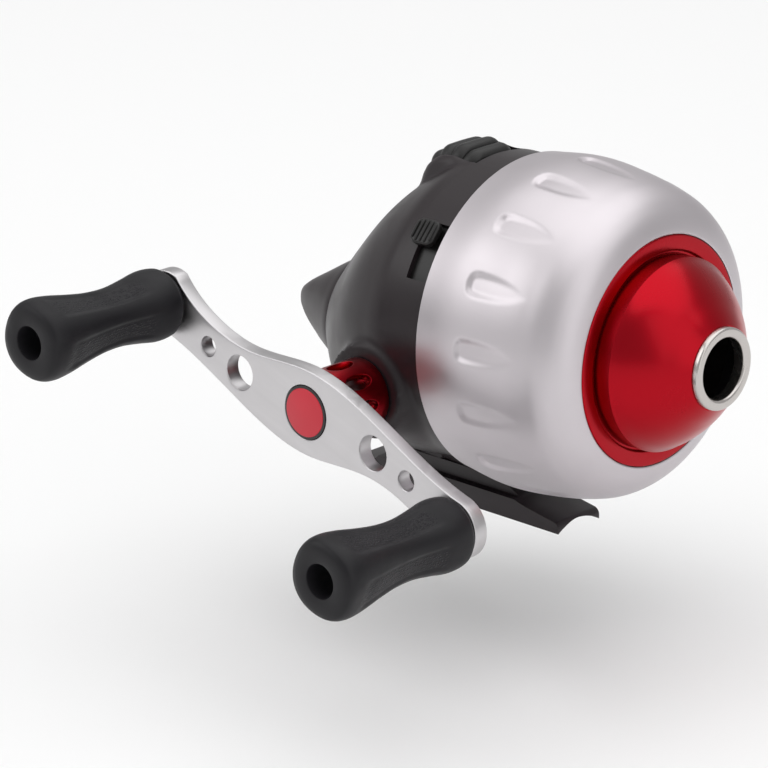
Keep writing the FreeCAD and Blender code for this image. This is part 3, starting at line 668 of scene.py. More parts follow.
@dataclass(frozen=True)
class Moulded:
    """Moulded plastic or rubber with a fine texture."""

    name: str
    colour: tuple[float, float, float]
    roughness: float = 0.45
    grain_scale: float = 3000.0
    grain_mm: float = 0.012
    sheen: float = 0.0
    specular: float = 0.5

    def make(self, effects: Effects) -> bpy.types.Material:
        """Build the material.

        Args:
            effects: shared node groups.

        Returns:
            The finished material.
        """
        coating = Coating(self.name, effects)
        sheet = coating.sheet
        grain = coating.group(effects.grain, Vector=coating.place, Scale=self.grain_scale)
        marks = coating.group(effects.handling, Vector=coating.place, Scale=80.0)
        tone = sheet.blend(grain.outputs["Drift"], shade(self.colour, 0.86), shade(self.colour, 1.14))
        rubbed = sheet.math("MULTIPLY", marks.outputs["Smudge"], 0.12)
        worn = sheet.blend(rubbed, tone, shade(self.colour, 1.7))
        coating.feed("Base Color", worn)
        rough = sheet.spread(marks.outputs["Smudge"], 0.0, 1.0, self.roughness, self.roughness + 0.09)
        coating.feed("Roughness", rough)
        coating.feed("Specular IOR Level", self.specular)
        if self.sheen:
            coating.feed("Sheen Weight", self.sheen)
            coating.feed("Sheen Roughness", 0.4)
        coating.bump(grain.outputs["Height"], self.grain_mm)
        return coating.material


@dataclass(frozen=True)
class Stippled:
    """Soft rubber with raised pimples on the grip panels."""

    name: str
    colour: tuple[float, float, float]
    pitch_mm: float = 0.6
    depth_mm: float = 0.15

    def make(self, effects: Effects) -> bpy.types.Material:
        """Build the material; the panels come from the mesh's panel attribute.

        Args:
            effects: shared node groups.

        Returns:
            The finished material.
        """
        coating = Coating(self.name, effects)
        sheet = coating.sheet
        panel = sheet.add("ShaderNodeAttribute", attribute_name="panel").outputs["Fac"]
        cells = sheet.add(
            "ShaderNodeTexVoronoi",
            {"Vector": coating.place, "Scale": 1 / (self.pitch_mm * MM), "Randomness": 0.55},
        )
        dots = sheet.spread(cells.outputs["Distance"], 0.12, 0.5, 1.0, 0.0)
        raised = sheet.math("MULTIPLY", dots, panel)
        grain = coating.group(effects.grain, Vector=coating.place, Scale=3800.0)
        fine = sheet.math("MULTIPLY", grain.outputs["Height"], 0.12)
        marks = coating.group(effects.handling, Vector=coating.place, Scale=120.0)
        tone = sheet.blend(grain.outputs["Drift"], shade(self.colour, 0.85), shade(self.colour, 1.15))
        # Painted highlight: the raised pimple tips are blended towards a much lighter colour, standing in
        # for the glints they catch.
        pimple_tip_highlight = sheet.blend(sheet.math("MULTIPLY", raised, 0.7), tone, shade(self.colour, 2.6))
        coating.feed("Base Color", pimple_tip_highlight)
        coating.feed("Roughness", sheet.spread(marks.outputs["Smudge"], 0.0, 1.0, 0.44, 0.56))
        coating.feed("Specular IOR Level", 0.27)
        coating.bump(sheet.math("ADD", raised, fine), self.depth_mm)
        return coating.material


@dataclass(frozen=True)
class Felt:
    """Oiled felt with a fibrous nap."""

    name: str
    colour: tuple[float, float, float]

    def make(self, effects: Effects) -> bpy.types.Material:
        """Build the material.

        Args:
            effects: shared node groups.

        Returns:
            The finished material.
        """
        coating = Coating(self.name, effects)
        sheet = coating.sheet
        lines = coating.group(effects.lines, Vector=coating.place, Across=2400.0, Along=500.0)
        tone = sheet.blend(lines.outputs["Height"], shade(self.colour, 0.6), shade(self.colour, 1.4))
        coating.feed("Base Color", tone)
        coating.feed("Roughness", 0.9)
        coating.feed("Sheen Weight", 0.3)
        coating.bump(lines.outputs["Height"], 0.08)
        return coating.material


class Palette:
    """Every finish of the reel, built once."""

    def __init__(self) -> None:
        """Make the node groups and the materials."""
        effects = Effects()
        self.cover = CastMetal(
            "satin_silver", (0.62, 0.583, 0.608), roughness=0.42, spread=0.05
        ).make(effects)
        self.red = CastMetal(
            "red_anodised", (0.405, 0.005, 0.013), roughness=0.27, spread=0.04, grain_mm=0.002, coat=0.08
        ).make(effects)
        self.guide = CastMetal(
            "guide_steel", (0.56, 0.53, 0.51), roughness=0.22, grain_mm=0.002
        ).make(effects)
        self.arm = BrushedMetal(
            "brushed_arm", (0.60, 0.585, 0.595), turn=(0.0, math.radians(-19.0), 0.0), roughness=0.34,
            depth_mm=0.009, streaks=0.15
        ).make(effects)
        self.steel = BrushedMetal("machined_steel", (0.50, 0.50, 0.51), roughness=0.3).make(effects)
        self.brass = BrushedMetal("machined_brass", (0.72, 0.50, 0.21), roughness=0.3).make(effects)
        self.spool = BrushedMetal(
            "turned_aluminium", (0.68, 0.68, 0.70), turn=(0.0, 0.0, math.pi / 2), roughness=0.26
        ).make(effects)
        self.body = Moulded(
            "charcoal_body", (0.0175, 0.0125, 0.0145), roughness=0.35, grain_mm=0.006, specular=0.36
        ).make(effects)
        self.ribbed = Moulded(
            "black_ribbed", (0.008, 0.0075, 0.0075), roughness=0.36, specular=0.4
        ).make(effects)
        # Painted shade: a dark brown finish for the inside of the cone, standing in for the shade in the
        # hole behind the line guide.
        self.inner = Moulded(
            "cone_inside_painted_shade", (0.02, 0.017, 0.015), roughness=0.6, specular=0.25
        ).make(effects)
        self.knob = Stippled("stippled_rubber", (0.0085, 0.0078, 0.0098)).make(effects)
        self.felt = Felt("drag_felt", (0.12, 0.10, 0.07)).make(effects)
        self.badge = Moulded("badge_red", (0.55, 0.012, 0.03), roughness=0.3, grain_mm=0.002).make(effects)
        self.badge_ring = Moulded(
            "badge_black", (0.012, 0.012, 0.012), roughness=0.35, grain_mm=0.002
        ).make(effects)


class Curve:
    """Small formulas for smooth profiles."""

    @staticmethod
    def ease(value: float) -> float:
        """Smooth step from 0 to 1."""
        value = max(0.0, min(1.0, value))
        return value * value * (3.0 - 2.0 * value)

    @staticmethod
    def through(knots: Sequence[tuple[float, float]], x: float) -> float:
        """Value at x of a smooth curve through knots, with limited slopes.

        Args:
            knots: (x, value) pairs in rising x.
            x: place to evaluate.

        Returns:
            The interpolated value, held flat outside the knots.
        """
        if x <= knots[0][0]:
            return knots[0][1]
        if x >= knots[-1][0]:
            return knots[-1][1]
        steps = [(after[1] - knot[1]) / (after[0] - knot[0]) for knot, after in zip(knots, knots[1:])]
        inner = [(before + after) / 2 for before, after in zip(steps, steps[1:])]
        slopes = [steps[0], *inner, steps[-1]]
        index = next(number for number in range(len(steps)) if x <= knots[number + 1][0])
        start, end = knots[index], knots[index + 1]
        span = end[0] - start[0]
        share = (x - start[0]) / span
        cube, square = share ** 3, share ** 2
        value = (2 * cube - 3 * square + 1) * start[1] + (3 * square - 2 * cube) * end[1]
        value += (cube - 2 * square + share) * span * slopes[index]
        return value + (cube - square) * span * slopes[index + 1]

    @staticmethod
    def squircle(angle: float, power: float) -> tuple[float, float, float]:
        """Point of a rounded square of half-width 1.

        Args:
            angle: angle of the point in radians.
            power: 2 for a circle, more for a squarer outline.

        Returns:
            Cosine and sine of the angle, and the distance from the centre.
        """
        side, rise = math.cos(angle), math.sin(angle)
        return side, rise, (abs(side) ** power + abs(rise) ** power) ** (-1 / power)


@dataclass
class FrontCover:
    """Silver cover: a spun shell with a ring of teardrop dimples."""

    datum: Datum
    rim_rad: float = 34.2
    rim_chamfer: float = 0.25
    belly_x: float = 10.0
    belly_rad: float = 35.3
    shoulder: Profile = ((20.0, 34.45), (26.0, 33.3), (30.2, 31.9), (33.2, 29.7), (35.2, 26.9))
    front_x: float = 36.0
    seat_rad: float = 24.2
    seat_gap: float = 0.05
    mouth_round: float = 0.28
    flange: float = 1.3
    lip_rad: float = 21.5
    lip: float = 1.6
    wall: float = 1.5
    inside: Profile = ((31.0, 29.4), (26.0, 31.6), (18.0, 33.1))
    barrel_start: float = 0.6
    barrel_step: float = 0.42
    barrel_count: int = 78
    crown_stations: tuple[float, ...] = (33.6, 34.2, 34.8, 35.3, 35.7, 35.93)
    dimples: int = 16
    dimple_rear: float = 11.0
    dimple_long: float = 15.0
    dimple_half: float = 3.05
    dimple_deep: float = 0.74
    dimple_wall: float = 1.75
    dimple_rise: float = 1.4
    dimple_widest: float = 0.3
    dimple_blunt: float = 4.0
    dimple_taper: tuple[float, float] = (2.2, 0.62)
    dimple_fade: float = 0.9
    first_dimple: float = 0.25
    skin_deep: float = 0.4
    around: int = 512

    def bow(self, x: float) -> float:
        """Outer radius at a distance from the rim, along the barrel's smooth curve."""
        root = (self.front_x, self.seat_rad + 0.5)
        return Curve.through(((0.0, self.rim_rad), (self.belly_x, self.belly_rad), *self.shoulder, root), x)

    def build(self, palette: Palette) -> None:
        """Spin the shell, press the dimples into it and dress it.

        Args:
            palette: finishes.
        """
        barrel = [self.barrel_start + self.barrel_step * step for step in range(self.barrel_count)]
        stations = [self.rim_chamfer, *barrel, *self.crown_stations]
        seat = self.front_x - self.flange
        seat_rad = self.seat_rad + self.seat_gap
        corners = [(0.0, self.rim_rad - self.rim_chamfer)]
        corners += [(x, self.bow(x)) for x in stations]
        corners += [(self.front_x, self.seat_rad + self.mouth_round), (self.front_x - 0.1, seat_rad)]
        corners += [(seat, seat_rad), (seat, self.lip_rad), (seat - self.lip, self.lip_rad)]
        corners += [(seat - self.lip, self.seat_rad - self.wall), *self.inside]
        corners += [(self.belly_x, self.belly_rad - self.wall), (0.0, self.rim_rad - self.wall)]
        bm = Shop.spin(corners, steps=self.around)
        for vert in bm.verts:
            self.press(vert)
        Shop.move(bm, self.datum.on_axis())
        Shop.finish(bm, "cover_shell", "cover", palette.cover, 30.0, ["front_cover"], "cover_metal")

    def press(self, vert: bmesh.types.BMVert) -> None:
        """Push a vertex of the outer skin down where a dimple covers it.

        Args:
            vert: vertex of the spun shell.
        """
        radius = math.hypot(vert.co.y, vert.co.z)
        along = (vert.co.x - self.dimple_rear) / self.dimple_long
        if not 0.0 < along < 1.0 or radius < self.bow(vert.co.x) - self.skin_deep:
            return
        pitch = TURN / self.dimples
        angle = math.atan2(vert.co.z, -vert.co.y) / pitch - self.first_dimple
        offset = abs(angle - round(angle)) * pitch * radius
        if along < self.dimple_widest:
            away = (self.dimple_widest - along) / self.dimple_widest
            half = self.dimple_half * (1.0 - away ** self.dimple_blunt) ** 0.5
        else:
            away = (along - self.dimple_widest) / (1.0 - self.dimple_widest)
            half = self.dimple_half * (1.0 - away ** self.dimple_taper[0]) ** self.dimple_taper[1]
        floor = self.dimple_deep * (1.0 - along) ** self.dimple_fade
        rise = Curve.ease(along * self.dimple_long / self.dimple_rise)
        wall = Curve.ease((half - offset) / self.dimple_wall)
        scale = (radius - floor * wall * rise) / radius
        vert.co.y *= scale
        vert.co.z *= scale


@dataclass
class Nose:
    """Red cone insert and the polished line guide at its tip."""

    datum: Datum
    front_x: float = 36.0
    flange: float = 1.3
    flange_rad: float = 24.15
    flange_proud: float = 0.02
    lip: float = 1.6
    lip_rad: float = 21.5
    groove: float = 0.9
    groove_wide: float = 0.75
    root_rad: float = 20.2
    root_x: float = 39.7
    crown: Profile = ((42.2, 18.45), (44.4, 16.7), (46.4, 14.75), (48.2, 12.7), (49.8, 10.8))
    crown_steps: int = 26
    nose_x: float = 51.3
    nose_rad: float = 8.8
    wall: float = 1.4
    inner_knee: tuple[float, float] = (46.3, 14.1)
    neck_rad: float = 7.2
    guide_rad: float = 8.6
    guide_hole: float = 6.4
    guide_front: float = 52.7

    def build(self, palette: Palette) -> None:
        """Build both pieces.

        Args:
            palette: finishes.
        """
        self.build_cone(palette)
        self.build_guide(palette)

    def build_cone(self, palette: Palette) -> None:
        """Turn the cone, give its inside a dark painted-shade finish and dress it.

        Args:
            palette: finishes.
        """
        seat = self.front_x - self.flange
        back = seat - self.lip
        proud = self.front_x + self.flange_proud
        sunk = self.front_x - self.groove
        skirt = self.root_rad - self.wall
        crown = [(self.root_x + 0.15, self.root_rad - 0.3), *self.crown, (self.nose_x, self.nose_rad)]
        corners = [
            (back, self.lip_rad), (seat, self.lip_rad), (seat, self.flange_rad),
            (proud, self.flange_rad, 0.35), (proud, self.root_rad + self.groove_wide, 0.25),
            (sunk, self.root_rad + self.groove_wide - 0.15, 0.2), (sunk, self.root_rad, 0.1),
            (self.root_x - 0.25, self.root_rad),
        ]
        stations = np.linspace(crown[0][0], self.nose_x, self.crown_steps)
        corners += [(x, Curve.through(crown, x)) for x in stations]
        corners += [
            (self.nose_x, self.neck_rad), (self.nose_x - self.wall, self.neck_rad),
            (self.inner_knee[0] - self.wall, self.inner_knee[1]), (self.root_x - 1.0, skirt), (back, skirt),
        ]
        bm = Shop.spin(corners, steps=256, segments=4)
        # Painted shade: inward faces within the skirt take the dark second finish, standing in for the
        # shade inside the cone.
        for face in bm.faces:
            middle = face.calc_center_median()
            inward = face.normal.y * middle.y + face.normal.z * middle.z < 0
            face.material_index = int(inward and math.hypot(middle.y, middle.z) < skirt + 0.2)
        Shop.move(bm, self.datum.on_axis())
        Shop.finish(
            bm, "cone_shell", "cover", palette.red, 24.0, ["cone_insert"], "red_anodised", palette.inner
        )

    def build_guide(self, palette: Palette) -> None:
        """Turn the line guide and dress it.

        Args:
            palette: finishes.
        """
        back = self.nose_x - self.wall
        ring = [
            (back, self.neck_rad), (self.nose_x, self.neck_rad), (self.nose_x, self.guide_rad, 0.15),
            (self.guide_front, self.guide_rad, 0.55), (self.guide_front, self.guide_hole, 0.75),
            (back, self.guide_hole),
        ]
        bm = Shop.move(Shop.spin(ring, steps=192, segments=6), self.datum.on_axis())
        Shop.finish(bm, "guide_ring", "cover", palette.guide, 30.0, ["line_guide_ring"], "guide_steel")


@dataclass
class RearHousing:
    """Charcoal housing: a lofted skin with a hump, a flared crank boss, a pad and pockets."""

    datum: Datum
    collar_rad: float = 33.0
    rear_x: float = -44.0
    radii: Profile = ((12.0, 32.85), (16.0, 32.1), (26.0, 28.8), (36.0, 22.0), (44.0, 14.7))
    drops: Profile = ((9.0, 0.0), (12.0, 0.4), (16.0, 1.8), (26.0, 5.5), (36.0, 8.8))
    hole_drop: float = 10.0
    rear_lip: Profile = ((-0.25, 14.45), (-0.35, 14.1), (-0.25, 13.65), (0.0, 13.4), (2.6, 13.4))
    inner_wall: tuple[tuple[float, float, float], ...] = (
        (-41.4, 14.6, 9.8), (-36.0, 19.7, 8.9), (-26.0, 26.5, 5.5), (-16.0, 29.8, 1.8), (-9.0, 30.7, 0.0),
        (-4.0, 30.7, 0.0), (-4.0, 28.4, 0.0),
    )
    wheel_x: float = -14.5
    wheel_up: float = 23.6
    hump_rad: float = 9.2
    hump_half: float = 8.7
    hump_round: float = 2.6
    hump_fillet: float = 1.0
    pocket_half: float = 7.05
    pocket_reach: float = 11.35
    pocket_flat: float = 0.98
    pocket_low: float = 24.0
    pocket_round: float = 0.3
    boss_rad: float = 10.0
    boss_face: float = 33.5
    boss_neck: float = 22.0
    boss_flare: float = 3.6
    flare_power: float = 1.6
    boss_round: float = 0.8
    boss_fillet: float = 1.8
    boss_x: float = -15.0
    boss_drop: float = 12.5
    left_rad: float = 8.5
    left_face: float = 33.0
    left_fillet: float = 1.2
    pad_half: float = 4.5
    pad_span: tuple[float, float] = (-35.0, -7.0)
    pad_low: float = -36.0
    pad_fillet: float = 0.8
    track_span: tuple[float, float] = (-6.2, -0.8)
    track_angles: tuple[float, float] = (24.0, 46.0)
    track_deep: float = 1.2
    track_round: float = 0.18
    track_margin: float = 0.2
    spigot_x: float = 5.0
    spigot_rad: float = 32.6
    bore: float = 30.0
    ledge_x: float = -2.0
    ledge: float = 28.4
    skin_start: float = -0.15
    skin_deep: float = 0.9
    skin_reach: tuple[float, float] = (0.6, 14.0)
    halvings: int = 26
    around: int = 320
    pitch: float = 0.55

    def section(self, x: float) -> tuple[float, float]:
        """Drop of the centre and radius of the plain body at a distance from the rim."""
        drops = (*self.drops, (-self.rear_x, self.hole_drop))
        return Curve.through(drops, -x), Curve.through(((9.0, self.collar_rad), *self.radii), -x)

    def distance(self, x: float, y: np.ndarray, z: np.ndarray) -> np.ndarray:
        """Signed distance to the housing's outer shape in one cross-section.

        Args:
            x: place along the axis.
            y: side coordinates.
            z: heights above the reel axis.

        Returns:
            Distances, negative inside.
        """
        drop, radius = self.section(x)
        base = np.hypot(y, z + drop) - radius
        reach = np.hypot(x - self.wheel_x, z - self.wheel_up) - self.hump_rad
        hump = self.rounded(reach, np.abs(y) - self.hump_half, self.hump_round)
        level = np.clip((-y - self.boss_neck) / (self.boss_face - self.boss_neck), 0.0, 1.0)
        from_crank = np.hypot(x - self.boss_x, z + self.boss_drop)
        cone = from_crank - self.boss_rad - self.boss_flare * (1 - level) ** self.flare_power
        boss = self.rounded(cone, -y - self.boss_face, self.boss_round)
        left = self.rounded(from_crank - self.left_rad, y - self.left_face, self.boss_round)
        middle = sum(self.pad_span) / 2
        ends = abs(x - middle) - (self.pad_span[1] - self.pad_span[0]) / 2
        pad = np.maximum(np.maximum(ends, np.abs(y) - self.pad_half), self.pad_low - z)
        shape = self.soft_join(base, hump, self.hump_fillet)
        shape = self.soft_join(shape, np.maximum(boss, y), self.boss_fillet)
        shape = self.soft_join(shape, np.maximum(left, -y), self.left_fillet)
        return self.soft_join(shape, np.maximum(pad, z), self.pad_fillet)

    @staticmethod
    def rounded(first: np.ndarray, second: np.ndarray, radius: float) -> np.ndarray:
        """Common part of two shapes with its meeting edge rounded."""
        a, b = first + radius, second + radius
        return np.hypot(np.maximum(a, 0), np.maximum(b, 0)) + np.minimum(np.maximum(a, b), 0) - radius

    @staticmethod
    def soft_join(first: np.ndarray, second: np.ndarray, blend: float) -> np.ndarray:
        """Union of two shapes with a fillet where they meet."""
        share = np.clip(0.5 + 0.5 * (second - first) / blend, 0.0, 1.0)
        return second + (first - second) * share - blend * share * (1 - share)

    def skin(self, x: float) -> list[tuple[float, float]]:
        """Find the outer shape along rays from the plain body's centre.

        Args:
            x: place along the axis.

        Returns:
            Side and height of every vertex of the skin's loop.
        """
        drop, radius = self.section(x)
        angles = np.arange(self.around) * TURN / self.around
        low = np.full(self.around, radius * self.skin_reach[0])
        high = np.full(self.around, radius + self.skin_reach[1])
        for _ in range(self.halvings):
            middle = (low + high) / 2
            inside = self.distance(x, middle * np.cos(angles), middle * np.sin(angles) - drop) < 0
            low, high = np.where(inside, middle, low), np.where(inside, high, middle)
        return list(zip(low * np.cos(angles), low * np.sin(angles) - drop))

    def skin_loop(self, x: float) -> Callable[[float], Vector]:
        """Loop of the outer skin at x, as a function of the angle."""
        points = self.skin(x)
        return lambda angle: Vector((x, *points[round(angle / TURN * self.around) % self.around]))

    @staticmethod
    def ring_loop(x: float, radius: float, drop: float = 0.0) -> Callable[[float], Vector]:
        """Plain circle at x, its centre dropped, as a function of the angle."""
        return lambda angle: Vector((x, radius * math.cos(angle), radius * math.sin(angle) - drop))

    def build(self, palette: Palette) -> None:
        """Build the housing and the cap of its left side.

        Args:
            palette: finishes.
        """
        self.build_shell(palette)
        self.build_cap(palette)

    def build_shell(self, palette: Palette) -> None:
        """Loft the skin from the inner ledge round to the inner wall, and cut the pockets.

        Args:
            palette: finishes.
        """
        front = [
            (self.ledge_x, self.ledge), (self.ledge_x, self.bore), (self.spigot_x - 0.3, self.bore),
            (self.spigot_x, self.bore + 0.3), (self.spigot_x, self.spigot_rad - 0.5),
            (self.spigot_x - 0.5, self.spigot_rad), (0.0, self.spigot_rad), (0.0, self.collar_rad - 0.15),
        ]
        span = self.rear_x - self.skin_start
        count = round(-span / self.pitch)
        loops = [self.ring_loop(x, radius) for x, radius in front]
        loops += [self.skin_loop(self.skin_start + span * step / count) for step in range(count + 1)]
        loops += [self.ring_loop(self.rear_x + x, radius, self.hole_drop) for x, radius in self.rear_lip]
        loops += [self.ring_loop(x, radius, drop) for x, radius, drop in self.inner_wall]
        bm = Shop.rings(loops, self.around, Ends.BRIDGED)
        self.sink_wheel_pocket(bm)
        self.sink_track(bm)
        bmesh.ops.recalc_face_normals(bm, faces=bm.faces[:])
        Shop.move(bm, self.datum.on_axis())
        Shop.finish(
            bm, "housing_shell", "reel_body", palette.body, 40.0, ["body_housing"], "body_plastic",
            palette.ribbed,
        )

    def build_cap(self, palette: Palette) -> None:
        """Turn the low domed cap of the left side.

        Args:
            palette: finishes.
        """
        seat = self.left_face + 0.05
        cap = [
            (self.left_face - 4, 0.0), (self.left_face - 4, 5.5), (seat, 5.5), (seat, self.left_rad, 0.2),
            (self.left_face + 2, self.left_rad, 0.9), (self.left_face + 1.7, 5.0, 0.6),
            (self.left_face + 1.6, 0.0),
        ]
        bm = Shop.spin(cap, steps=96, closed=False, segments=4)
        Shop.move(bm, self.datum.at_crank(), Axis.FROM_CRANK.value)
        Shop.finish(bm, "side_cap", "reel_body", palette.body, 35.0, ["left_cap"], "body_plastic")

    @staticmethod
    def split(bm: Mesh, point: Sequence[float], normal: Sequence[float],
              near: Callable[[Vector], bool]) -> None:
        """Cut the outer skin's faces along a plane, only where they are near a pocket.

        Args:
            bm: the housing.
            point: point of the plane.
            normal: the plane's normal.
            near: whether a face centre is near the pocket.
        """
        faces = [face for face in bm.faces if near(face.calc_center_median())]
        geom = set(faces)
        for face in faces:
            geom.update(face.edges)
            geom.update(face.verts)
        bmesh.ops.bisect_plane(bm, geom=list(geom), dist=MERGE, plane_co=point, plane_no=normal)

    @staticmethod
    def sink(bm: Mesh, within: Callable[[Vector], bool], drop: Callable[[Vector], Vector],
             rounding: float) -> None:
        """Press the faces inside an outline down as one pocket.

        Args:
            bm: the housing.
            within: whether a face centre lies inside the outline.
            drop: new place of a pressed vertex.
            rounding: width of the rounded mouth.
        """
        faces = [face for face in bm.faces if within(face.calc_center_median())]
        made = bmesh.ops.extrude_face_region(bm, geom=faces)
        floor = {item for item in made["geom"] if isinstance(item, bmesh.types.BMVert)}
        bmesh.ops.delete(bm, geom=faces, context="FACES")
        for vert in floor:
            vert.co = drop(vert.co)
        mouth = set()
        for face in {face for vert in floor for face in vert.link_faces}:
            face.material_index = int(floor.issuperset(face.verts))
            mouth.update(edge for edge in face.edges if floor.isdisjoint(edge.verts))
        bmesh.ops.bevel(
            bm, geom=list(mouth), offset=rounding, offset_type="OFFSET", segments=3, profile=0.5,
            affect="EDGES", material=-1, clamp_overlap=True,
        )

    def is_skin(self, point: Vector) -> bool:
        """Whether a point lies on the outer skin and not on the inner wall."""
        depth = -float(self.distance(point.x, np.array(point.y), np.array(point.z)))
        return point.x < -0.1 and depth < self.skin_deep

    def sink_wheel_pocket(self, bm: Mesh) -> None:
        """Open the hump for the drag wheel.

        Args:
            bm: the housing.
        """
        left = self.wheel_x - self.pocket_reach
        above = self.collar_rad - self.wheel_up
        right = self.wheel_x + math.sqrt(self.pocket_reach ** 2 - above ** 2)

        def outside(point: Vector) -> bool:
            """Whether a point lies on the upper part of the outer skin."""
            high = point.z > self.pocket_low and math.hypot(point.y, point.z) > self.pocket_low
            return high and self.is_skin(point)

        def within(point: Vector) -> bool:
            """Whether a point lies over the wheel."""
            return outside(point) and left < point.x < right and abs(point.y) < self.pocket_half

        def drop(point: Vector) -> Vector:
            """Place of a vertex on the round floor under the wheel."""
            span = max(0.0, self.pocket_reach ** 2 - (point.x - self.wheel_x) ** 2)
            return Vector((point.x, point.y, self.wheel_up - math.sqrt(span) * self.pocket_flat))

        for x in (left, right):
            self.split(bm, (x, 0, 0), (1, 0, 0), outside)
        for y in (-self.pocket_half, self.pocket_half):
            self.split(bm, (0, y, 0), (0, 1, 0), outside)
        self.sink(bm, within, drop, self.pocket_round)

    def sink_track(self, bm: Mesh) -> None:
        """Press the alert switch's track into the collar.

        Args:
            bm: the housing.
        """
        low, high = (math.radians(angle) for angle in self.track_angles)
        rear, front = self.track_span

        def angle_of(point: Vector) -> float:
            """Angle of a point, counted up from the crank side."""
            return math.atan2(point.z, -point.y)

        def outside(point: Vector) -> bool:
            """Whether a point lies on the outer skin round the track."""
            beside = low - self.track_margin < angle_of(point) < high + self.track_margin
            return beside and rear - 2 < point.x < front + 1.4 and self.is_skin(point)

        def within(point: Vector) -> bool:
            """Whether a point lies over the track."""
            return outside(point) and low < angle_of(point) < high and rear < point.x < front

        def drop(point: Vector) -> Vector:
            """Place of a vertex on the track's floor."""
            radius = math.hypot(point.y, point.z)
            scale = (radius - self.track_deep) / radius
            return Vector((point.x, point.y * scale, point.z * scale))

        for x in (rear, front):
            self.split(bm, (x, 0, 0), (1, 0, 0), outside)
        for angle in (low, high):
            self.split(bm, (0, 0, 0), (0, math.sin(angle), math.cos(angle)), outside)
        self.sink(bm, within, drop, self.track_round)


@dataclass
class DragWheel:
    """Crowned thumbwheel with fat rounded ribs across its rim."""

    datum: Datum
    x: float = -14.5
    up: float = 23.6
    rad: float = 10.85
    half: float = 6.7
    ribs: int = 16
    groove: float = 1.1
    rib_power: float = 0.55
    flat_share: float = 0.55
    end_crown: float = 9.5
    middle_crown: float = 0.25
    rows: int = 25
    around: int = 320

    def loop(self, share: float) -> Callable[[float], Vector]:
        """Ribbed outline at a place across the wheel.

        Args:
            share: place along the axle, -1 and 1 at the wheel's ends.

        Returns:
            The outline as a function of the angle.
        """
        ends = max(0.0, abs(share) - self.flat_share)
        crown = self.end_crown * ends ** 2 + self.middle_crown * share ** 2

        def point(angle: float) -> Vector:
            """Point of the outline at an angle."""
            wave = abs(math.cos(angle * self.ribs / 2)) ** self.rib_power
            radius = self.rad - crown - self.groove * (1.0 - wave)
            return Vector((radius * math.cos(angle), share * self.half, radius * math.sin(angle)))
        return point

    def build(self, palette: Palette) -> None:
        """Loft the ribbed rim with rounded rib ends and dress it.

        Args:
            palette: finishes.
        """
        loops = [self.loop(2 * row / (self.rows - 1) - 1.0) for row in range(self.rows)]
        bm = Shop.rings(loops, self.around)
        Shop.move(bm, self.datum.on_axis(self.x, 0.0, self.up))
        Shop.finish(bm, "drag_wheel", "drag_dial", palette.ribbed, 50.0, ["drag_dial"], "black_rubber")


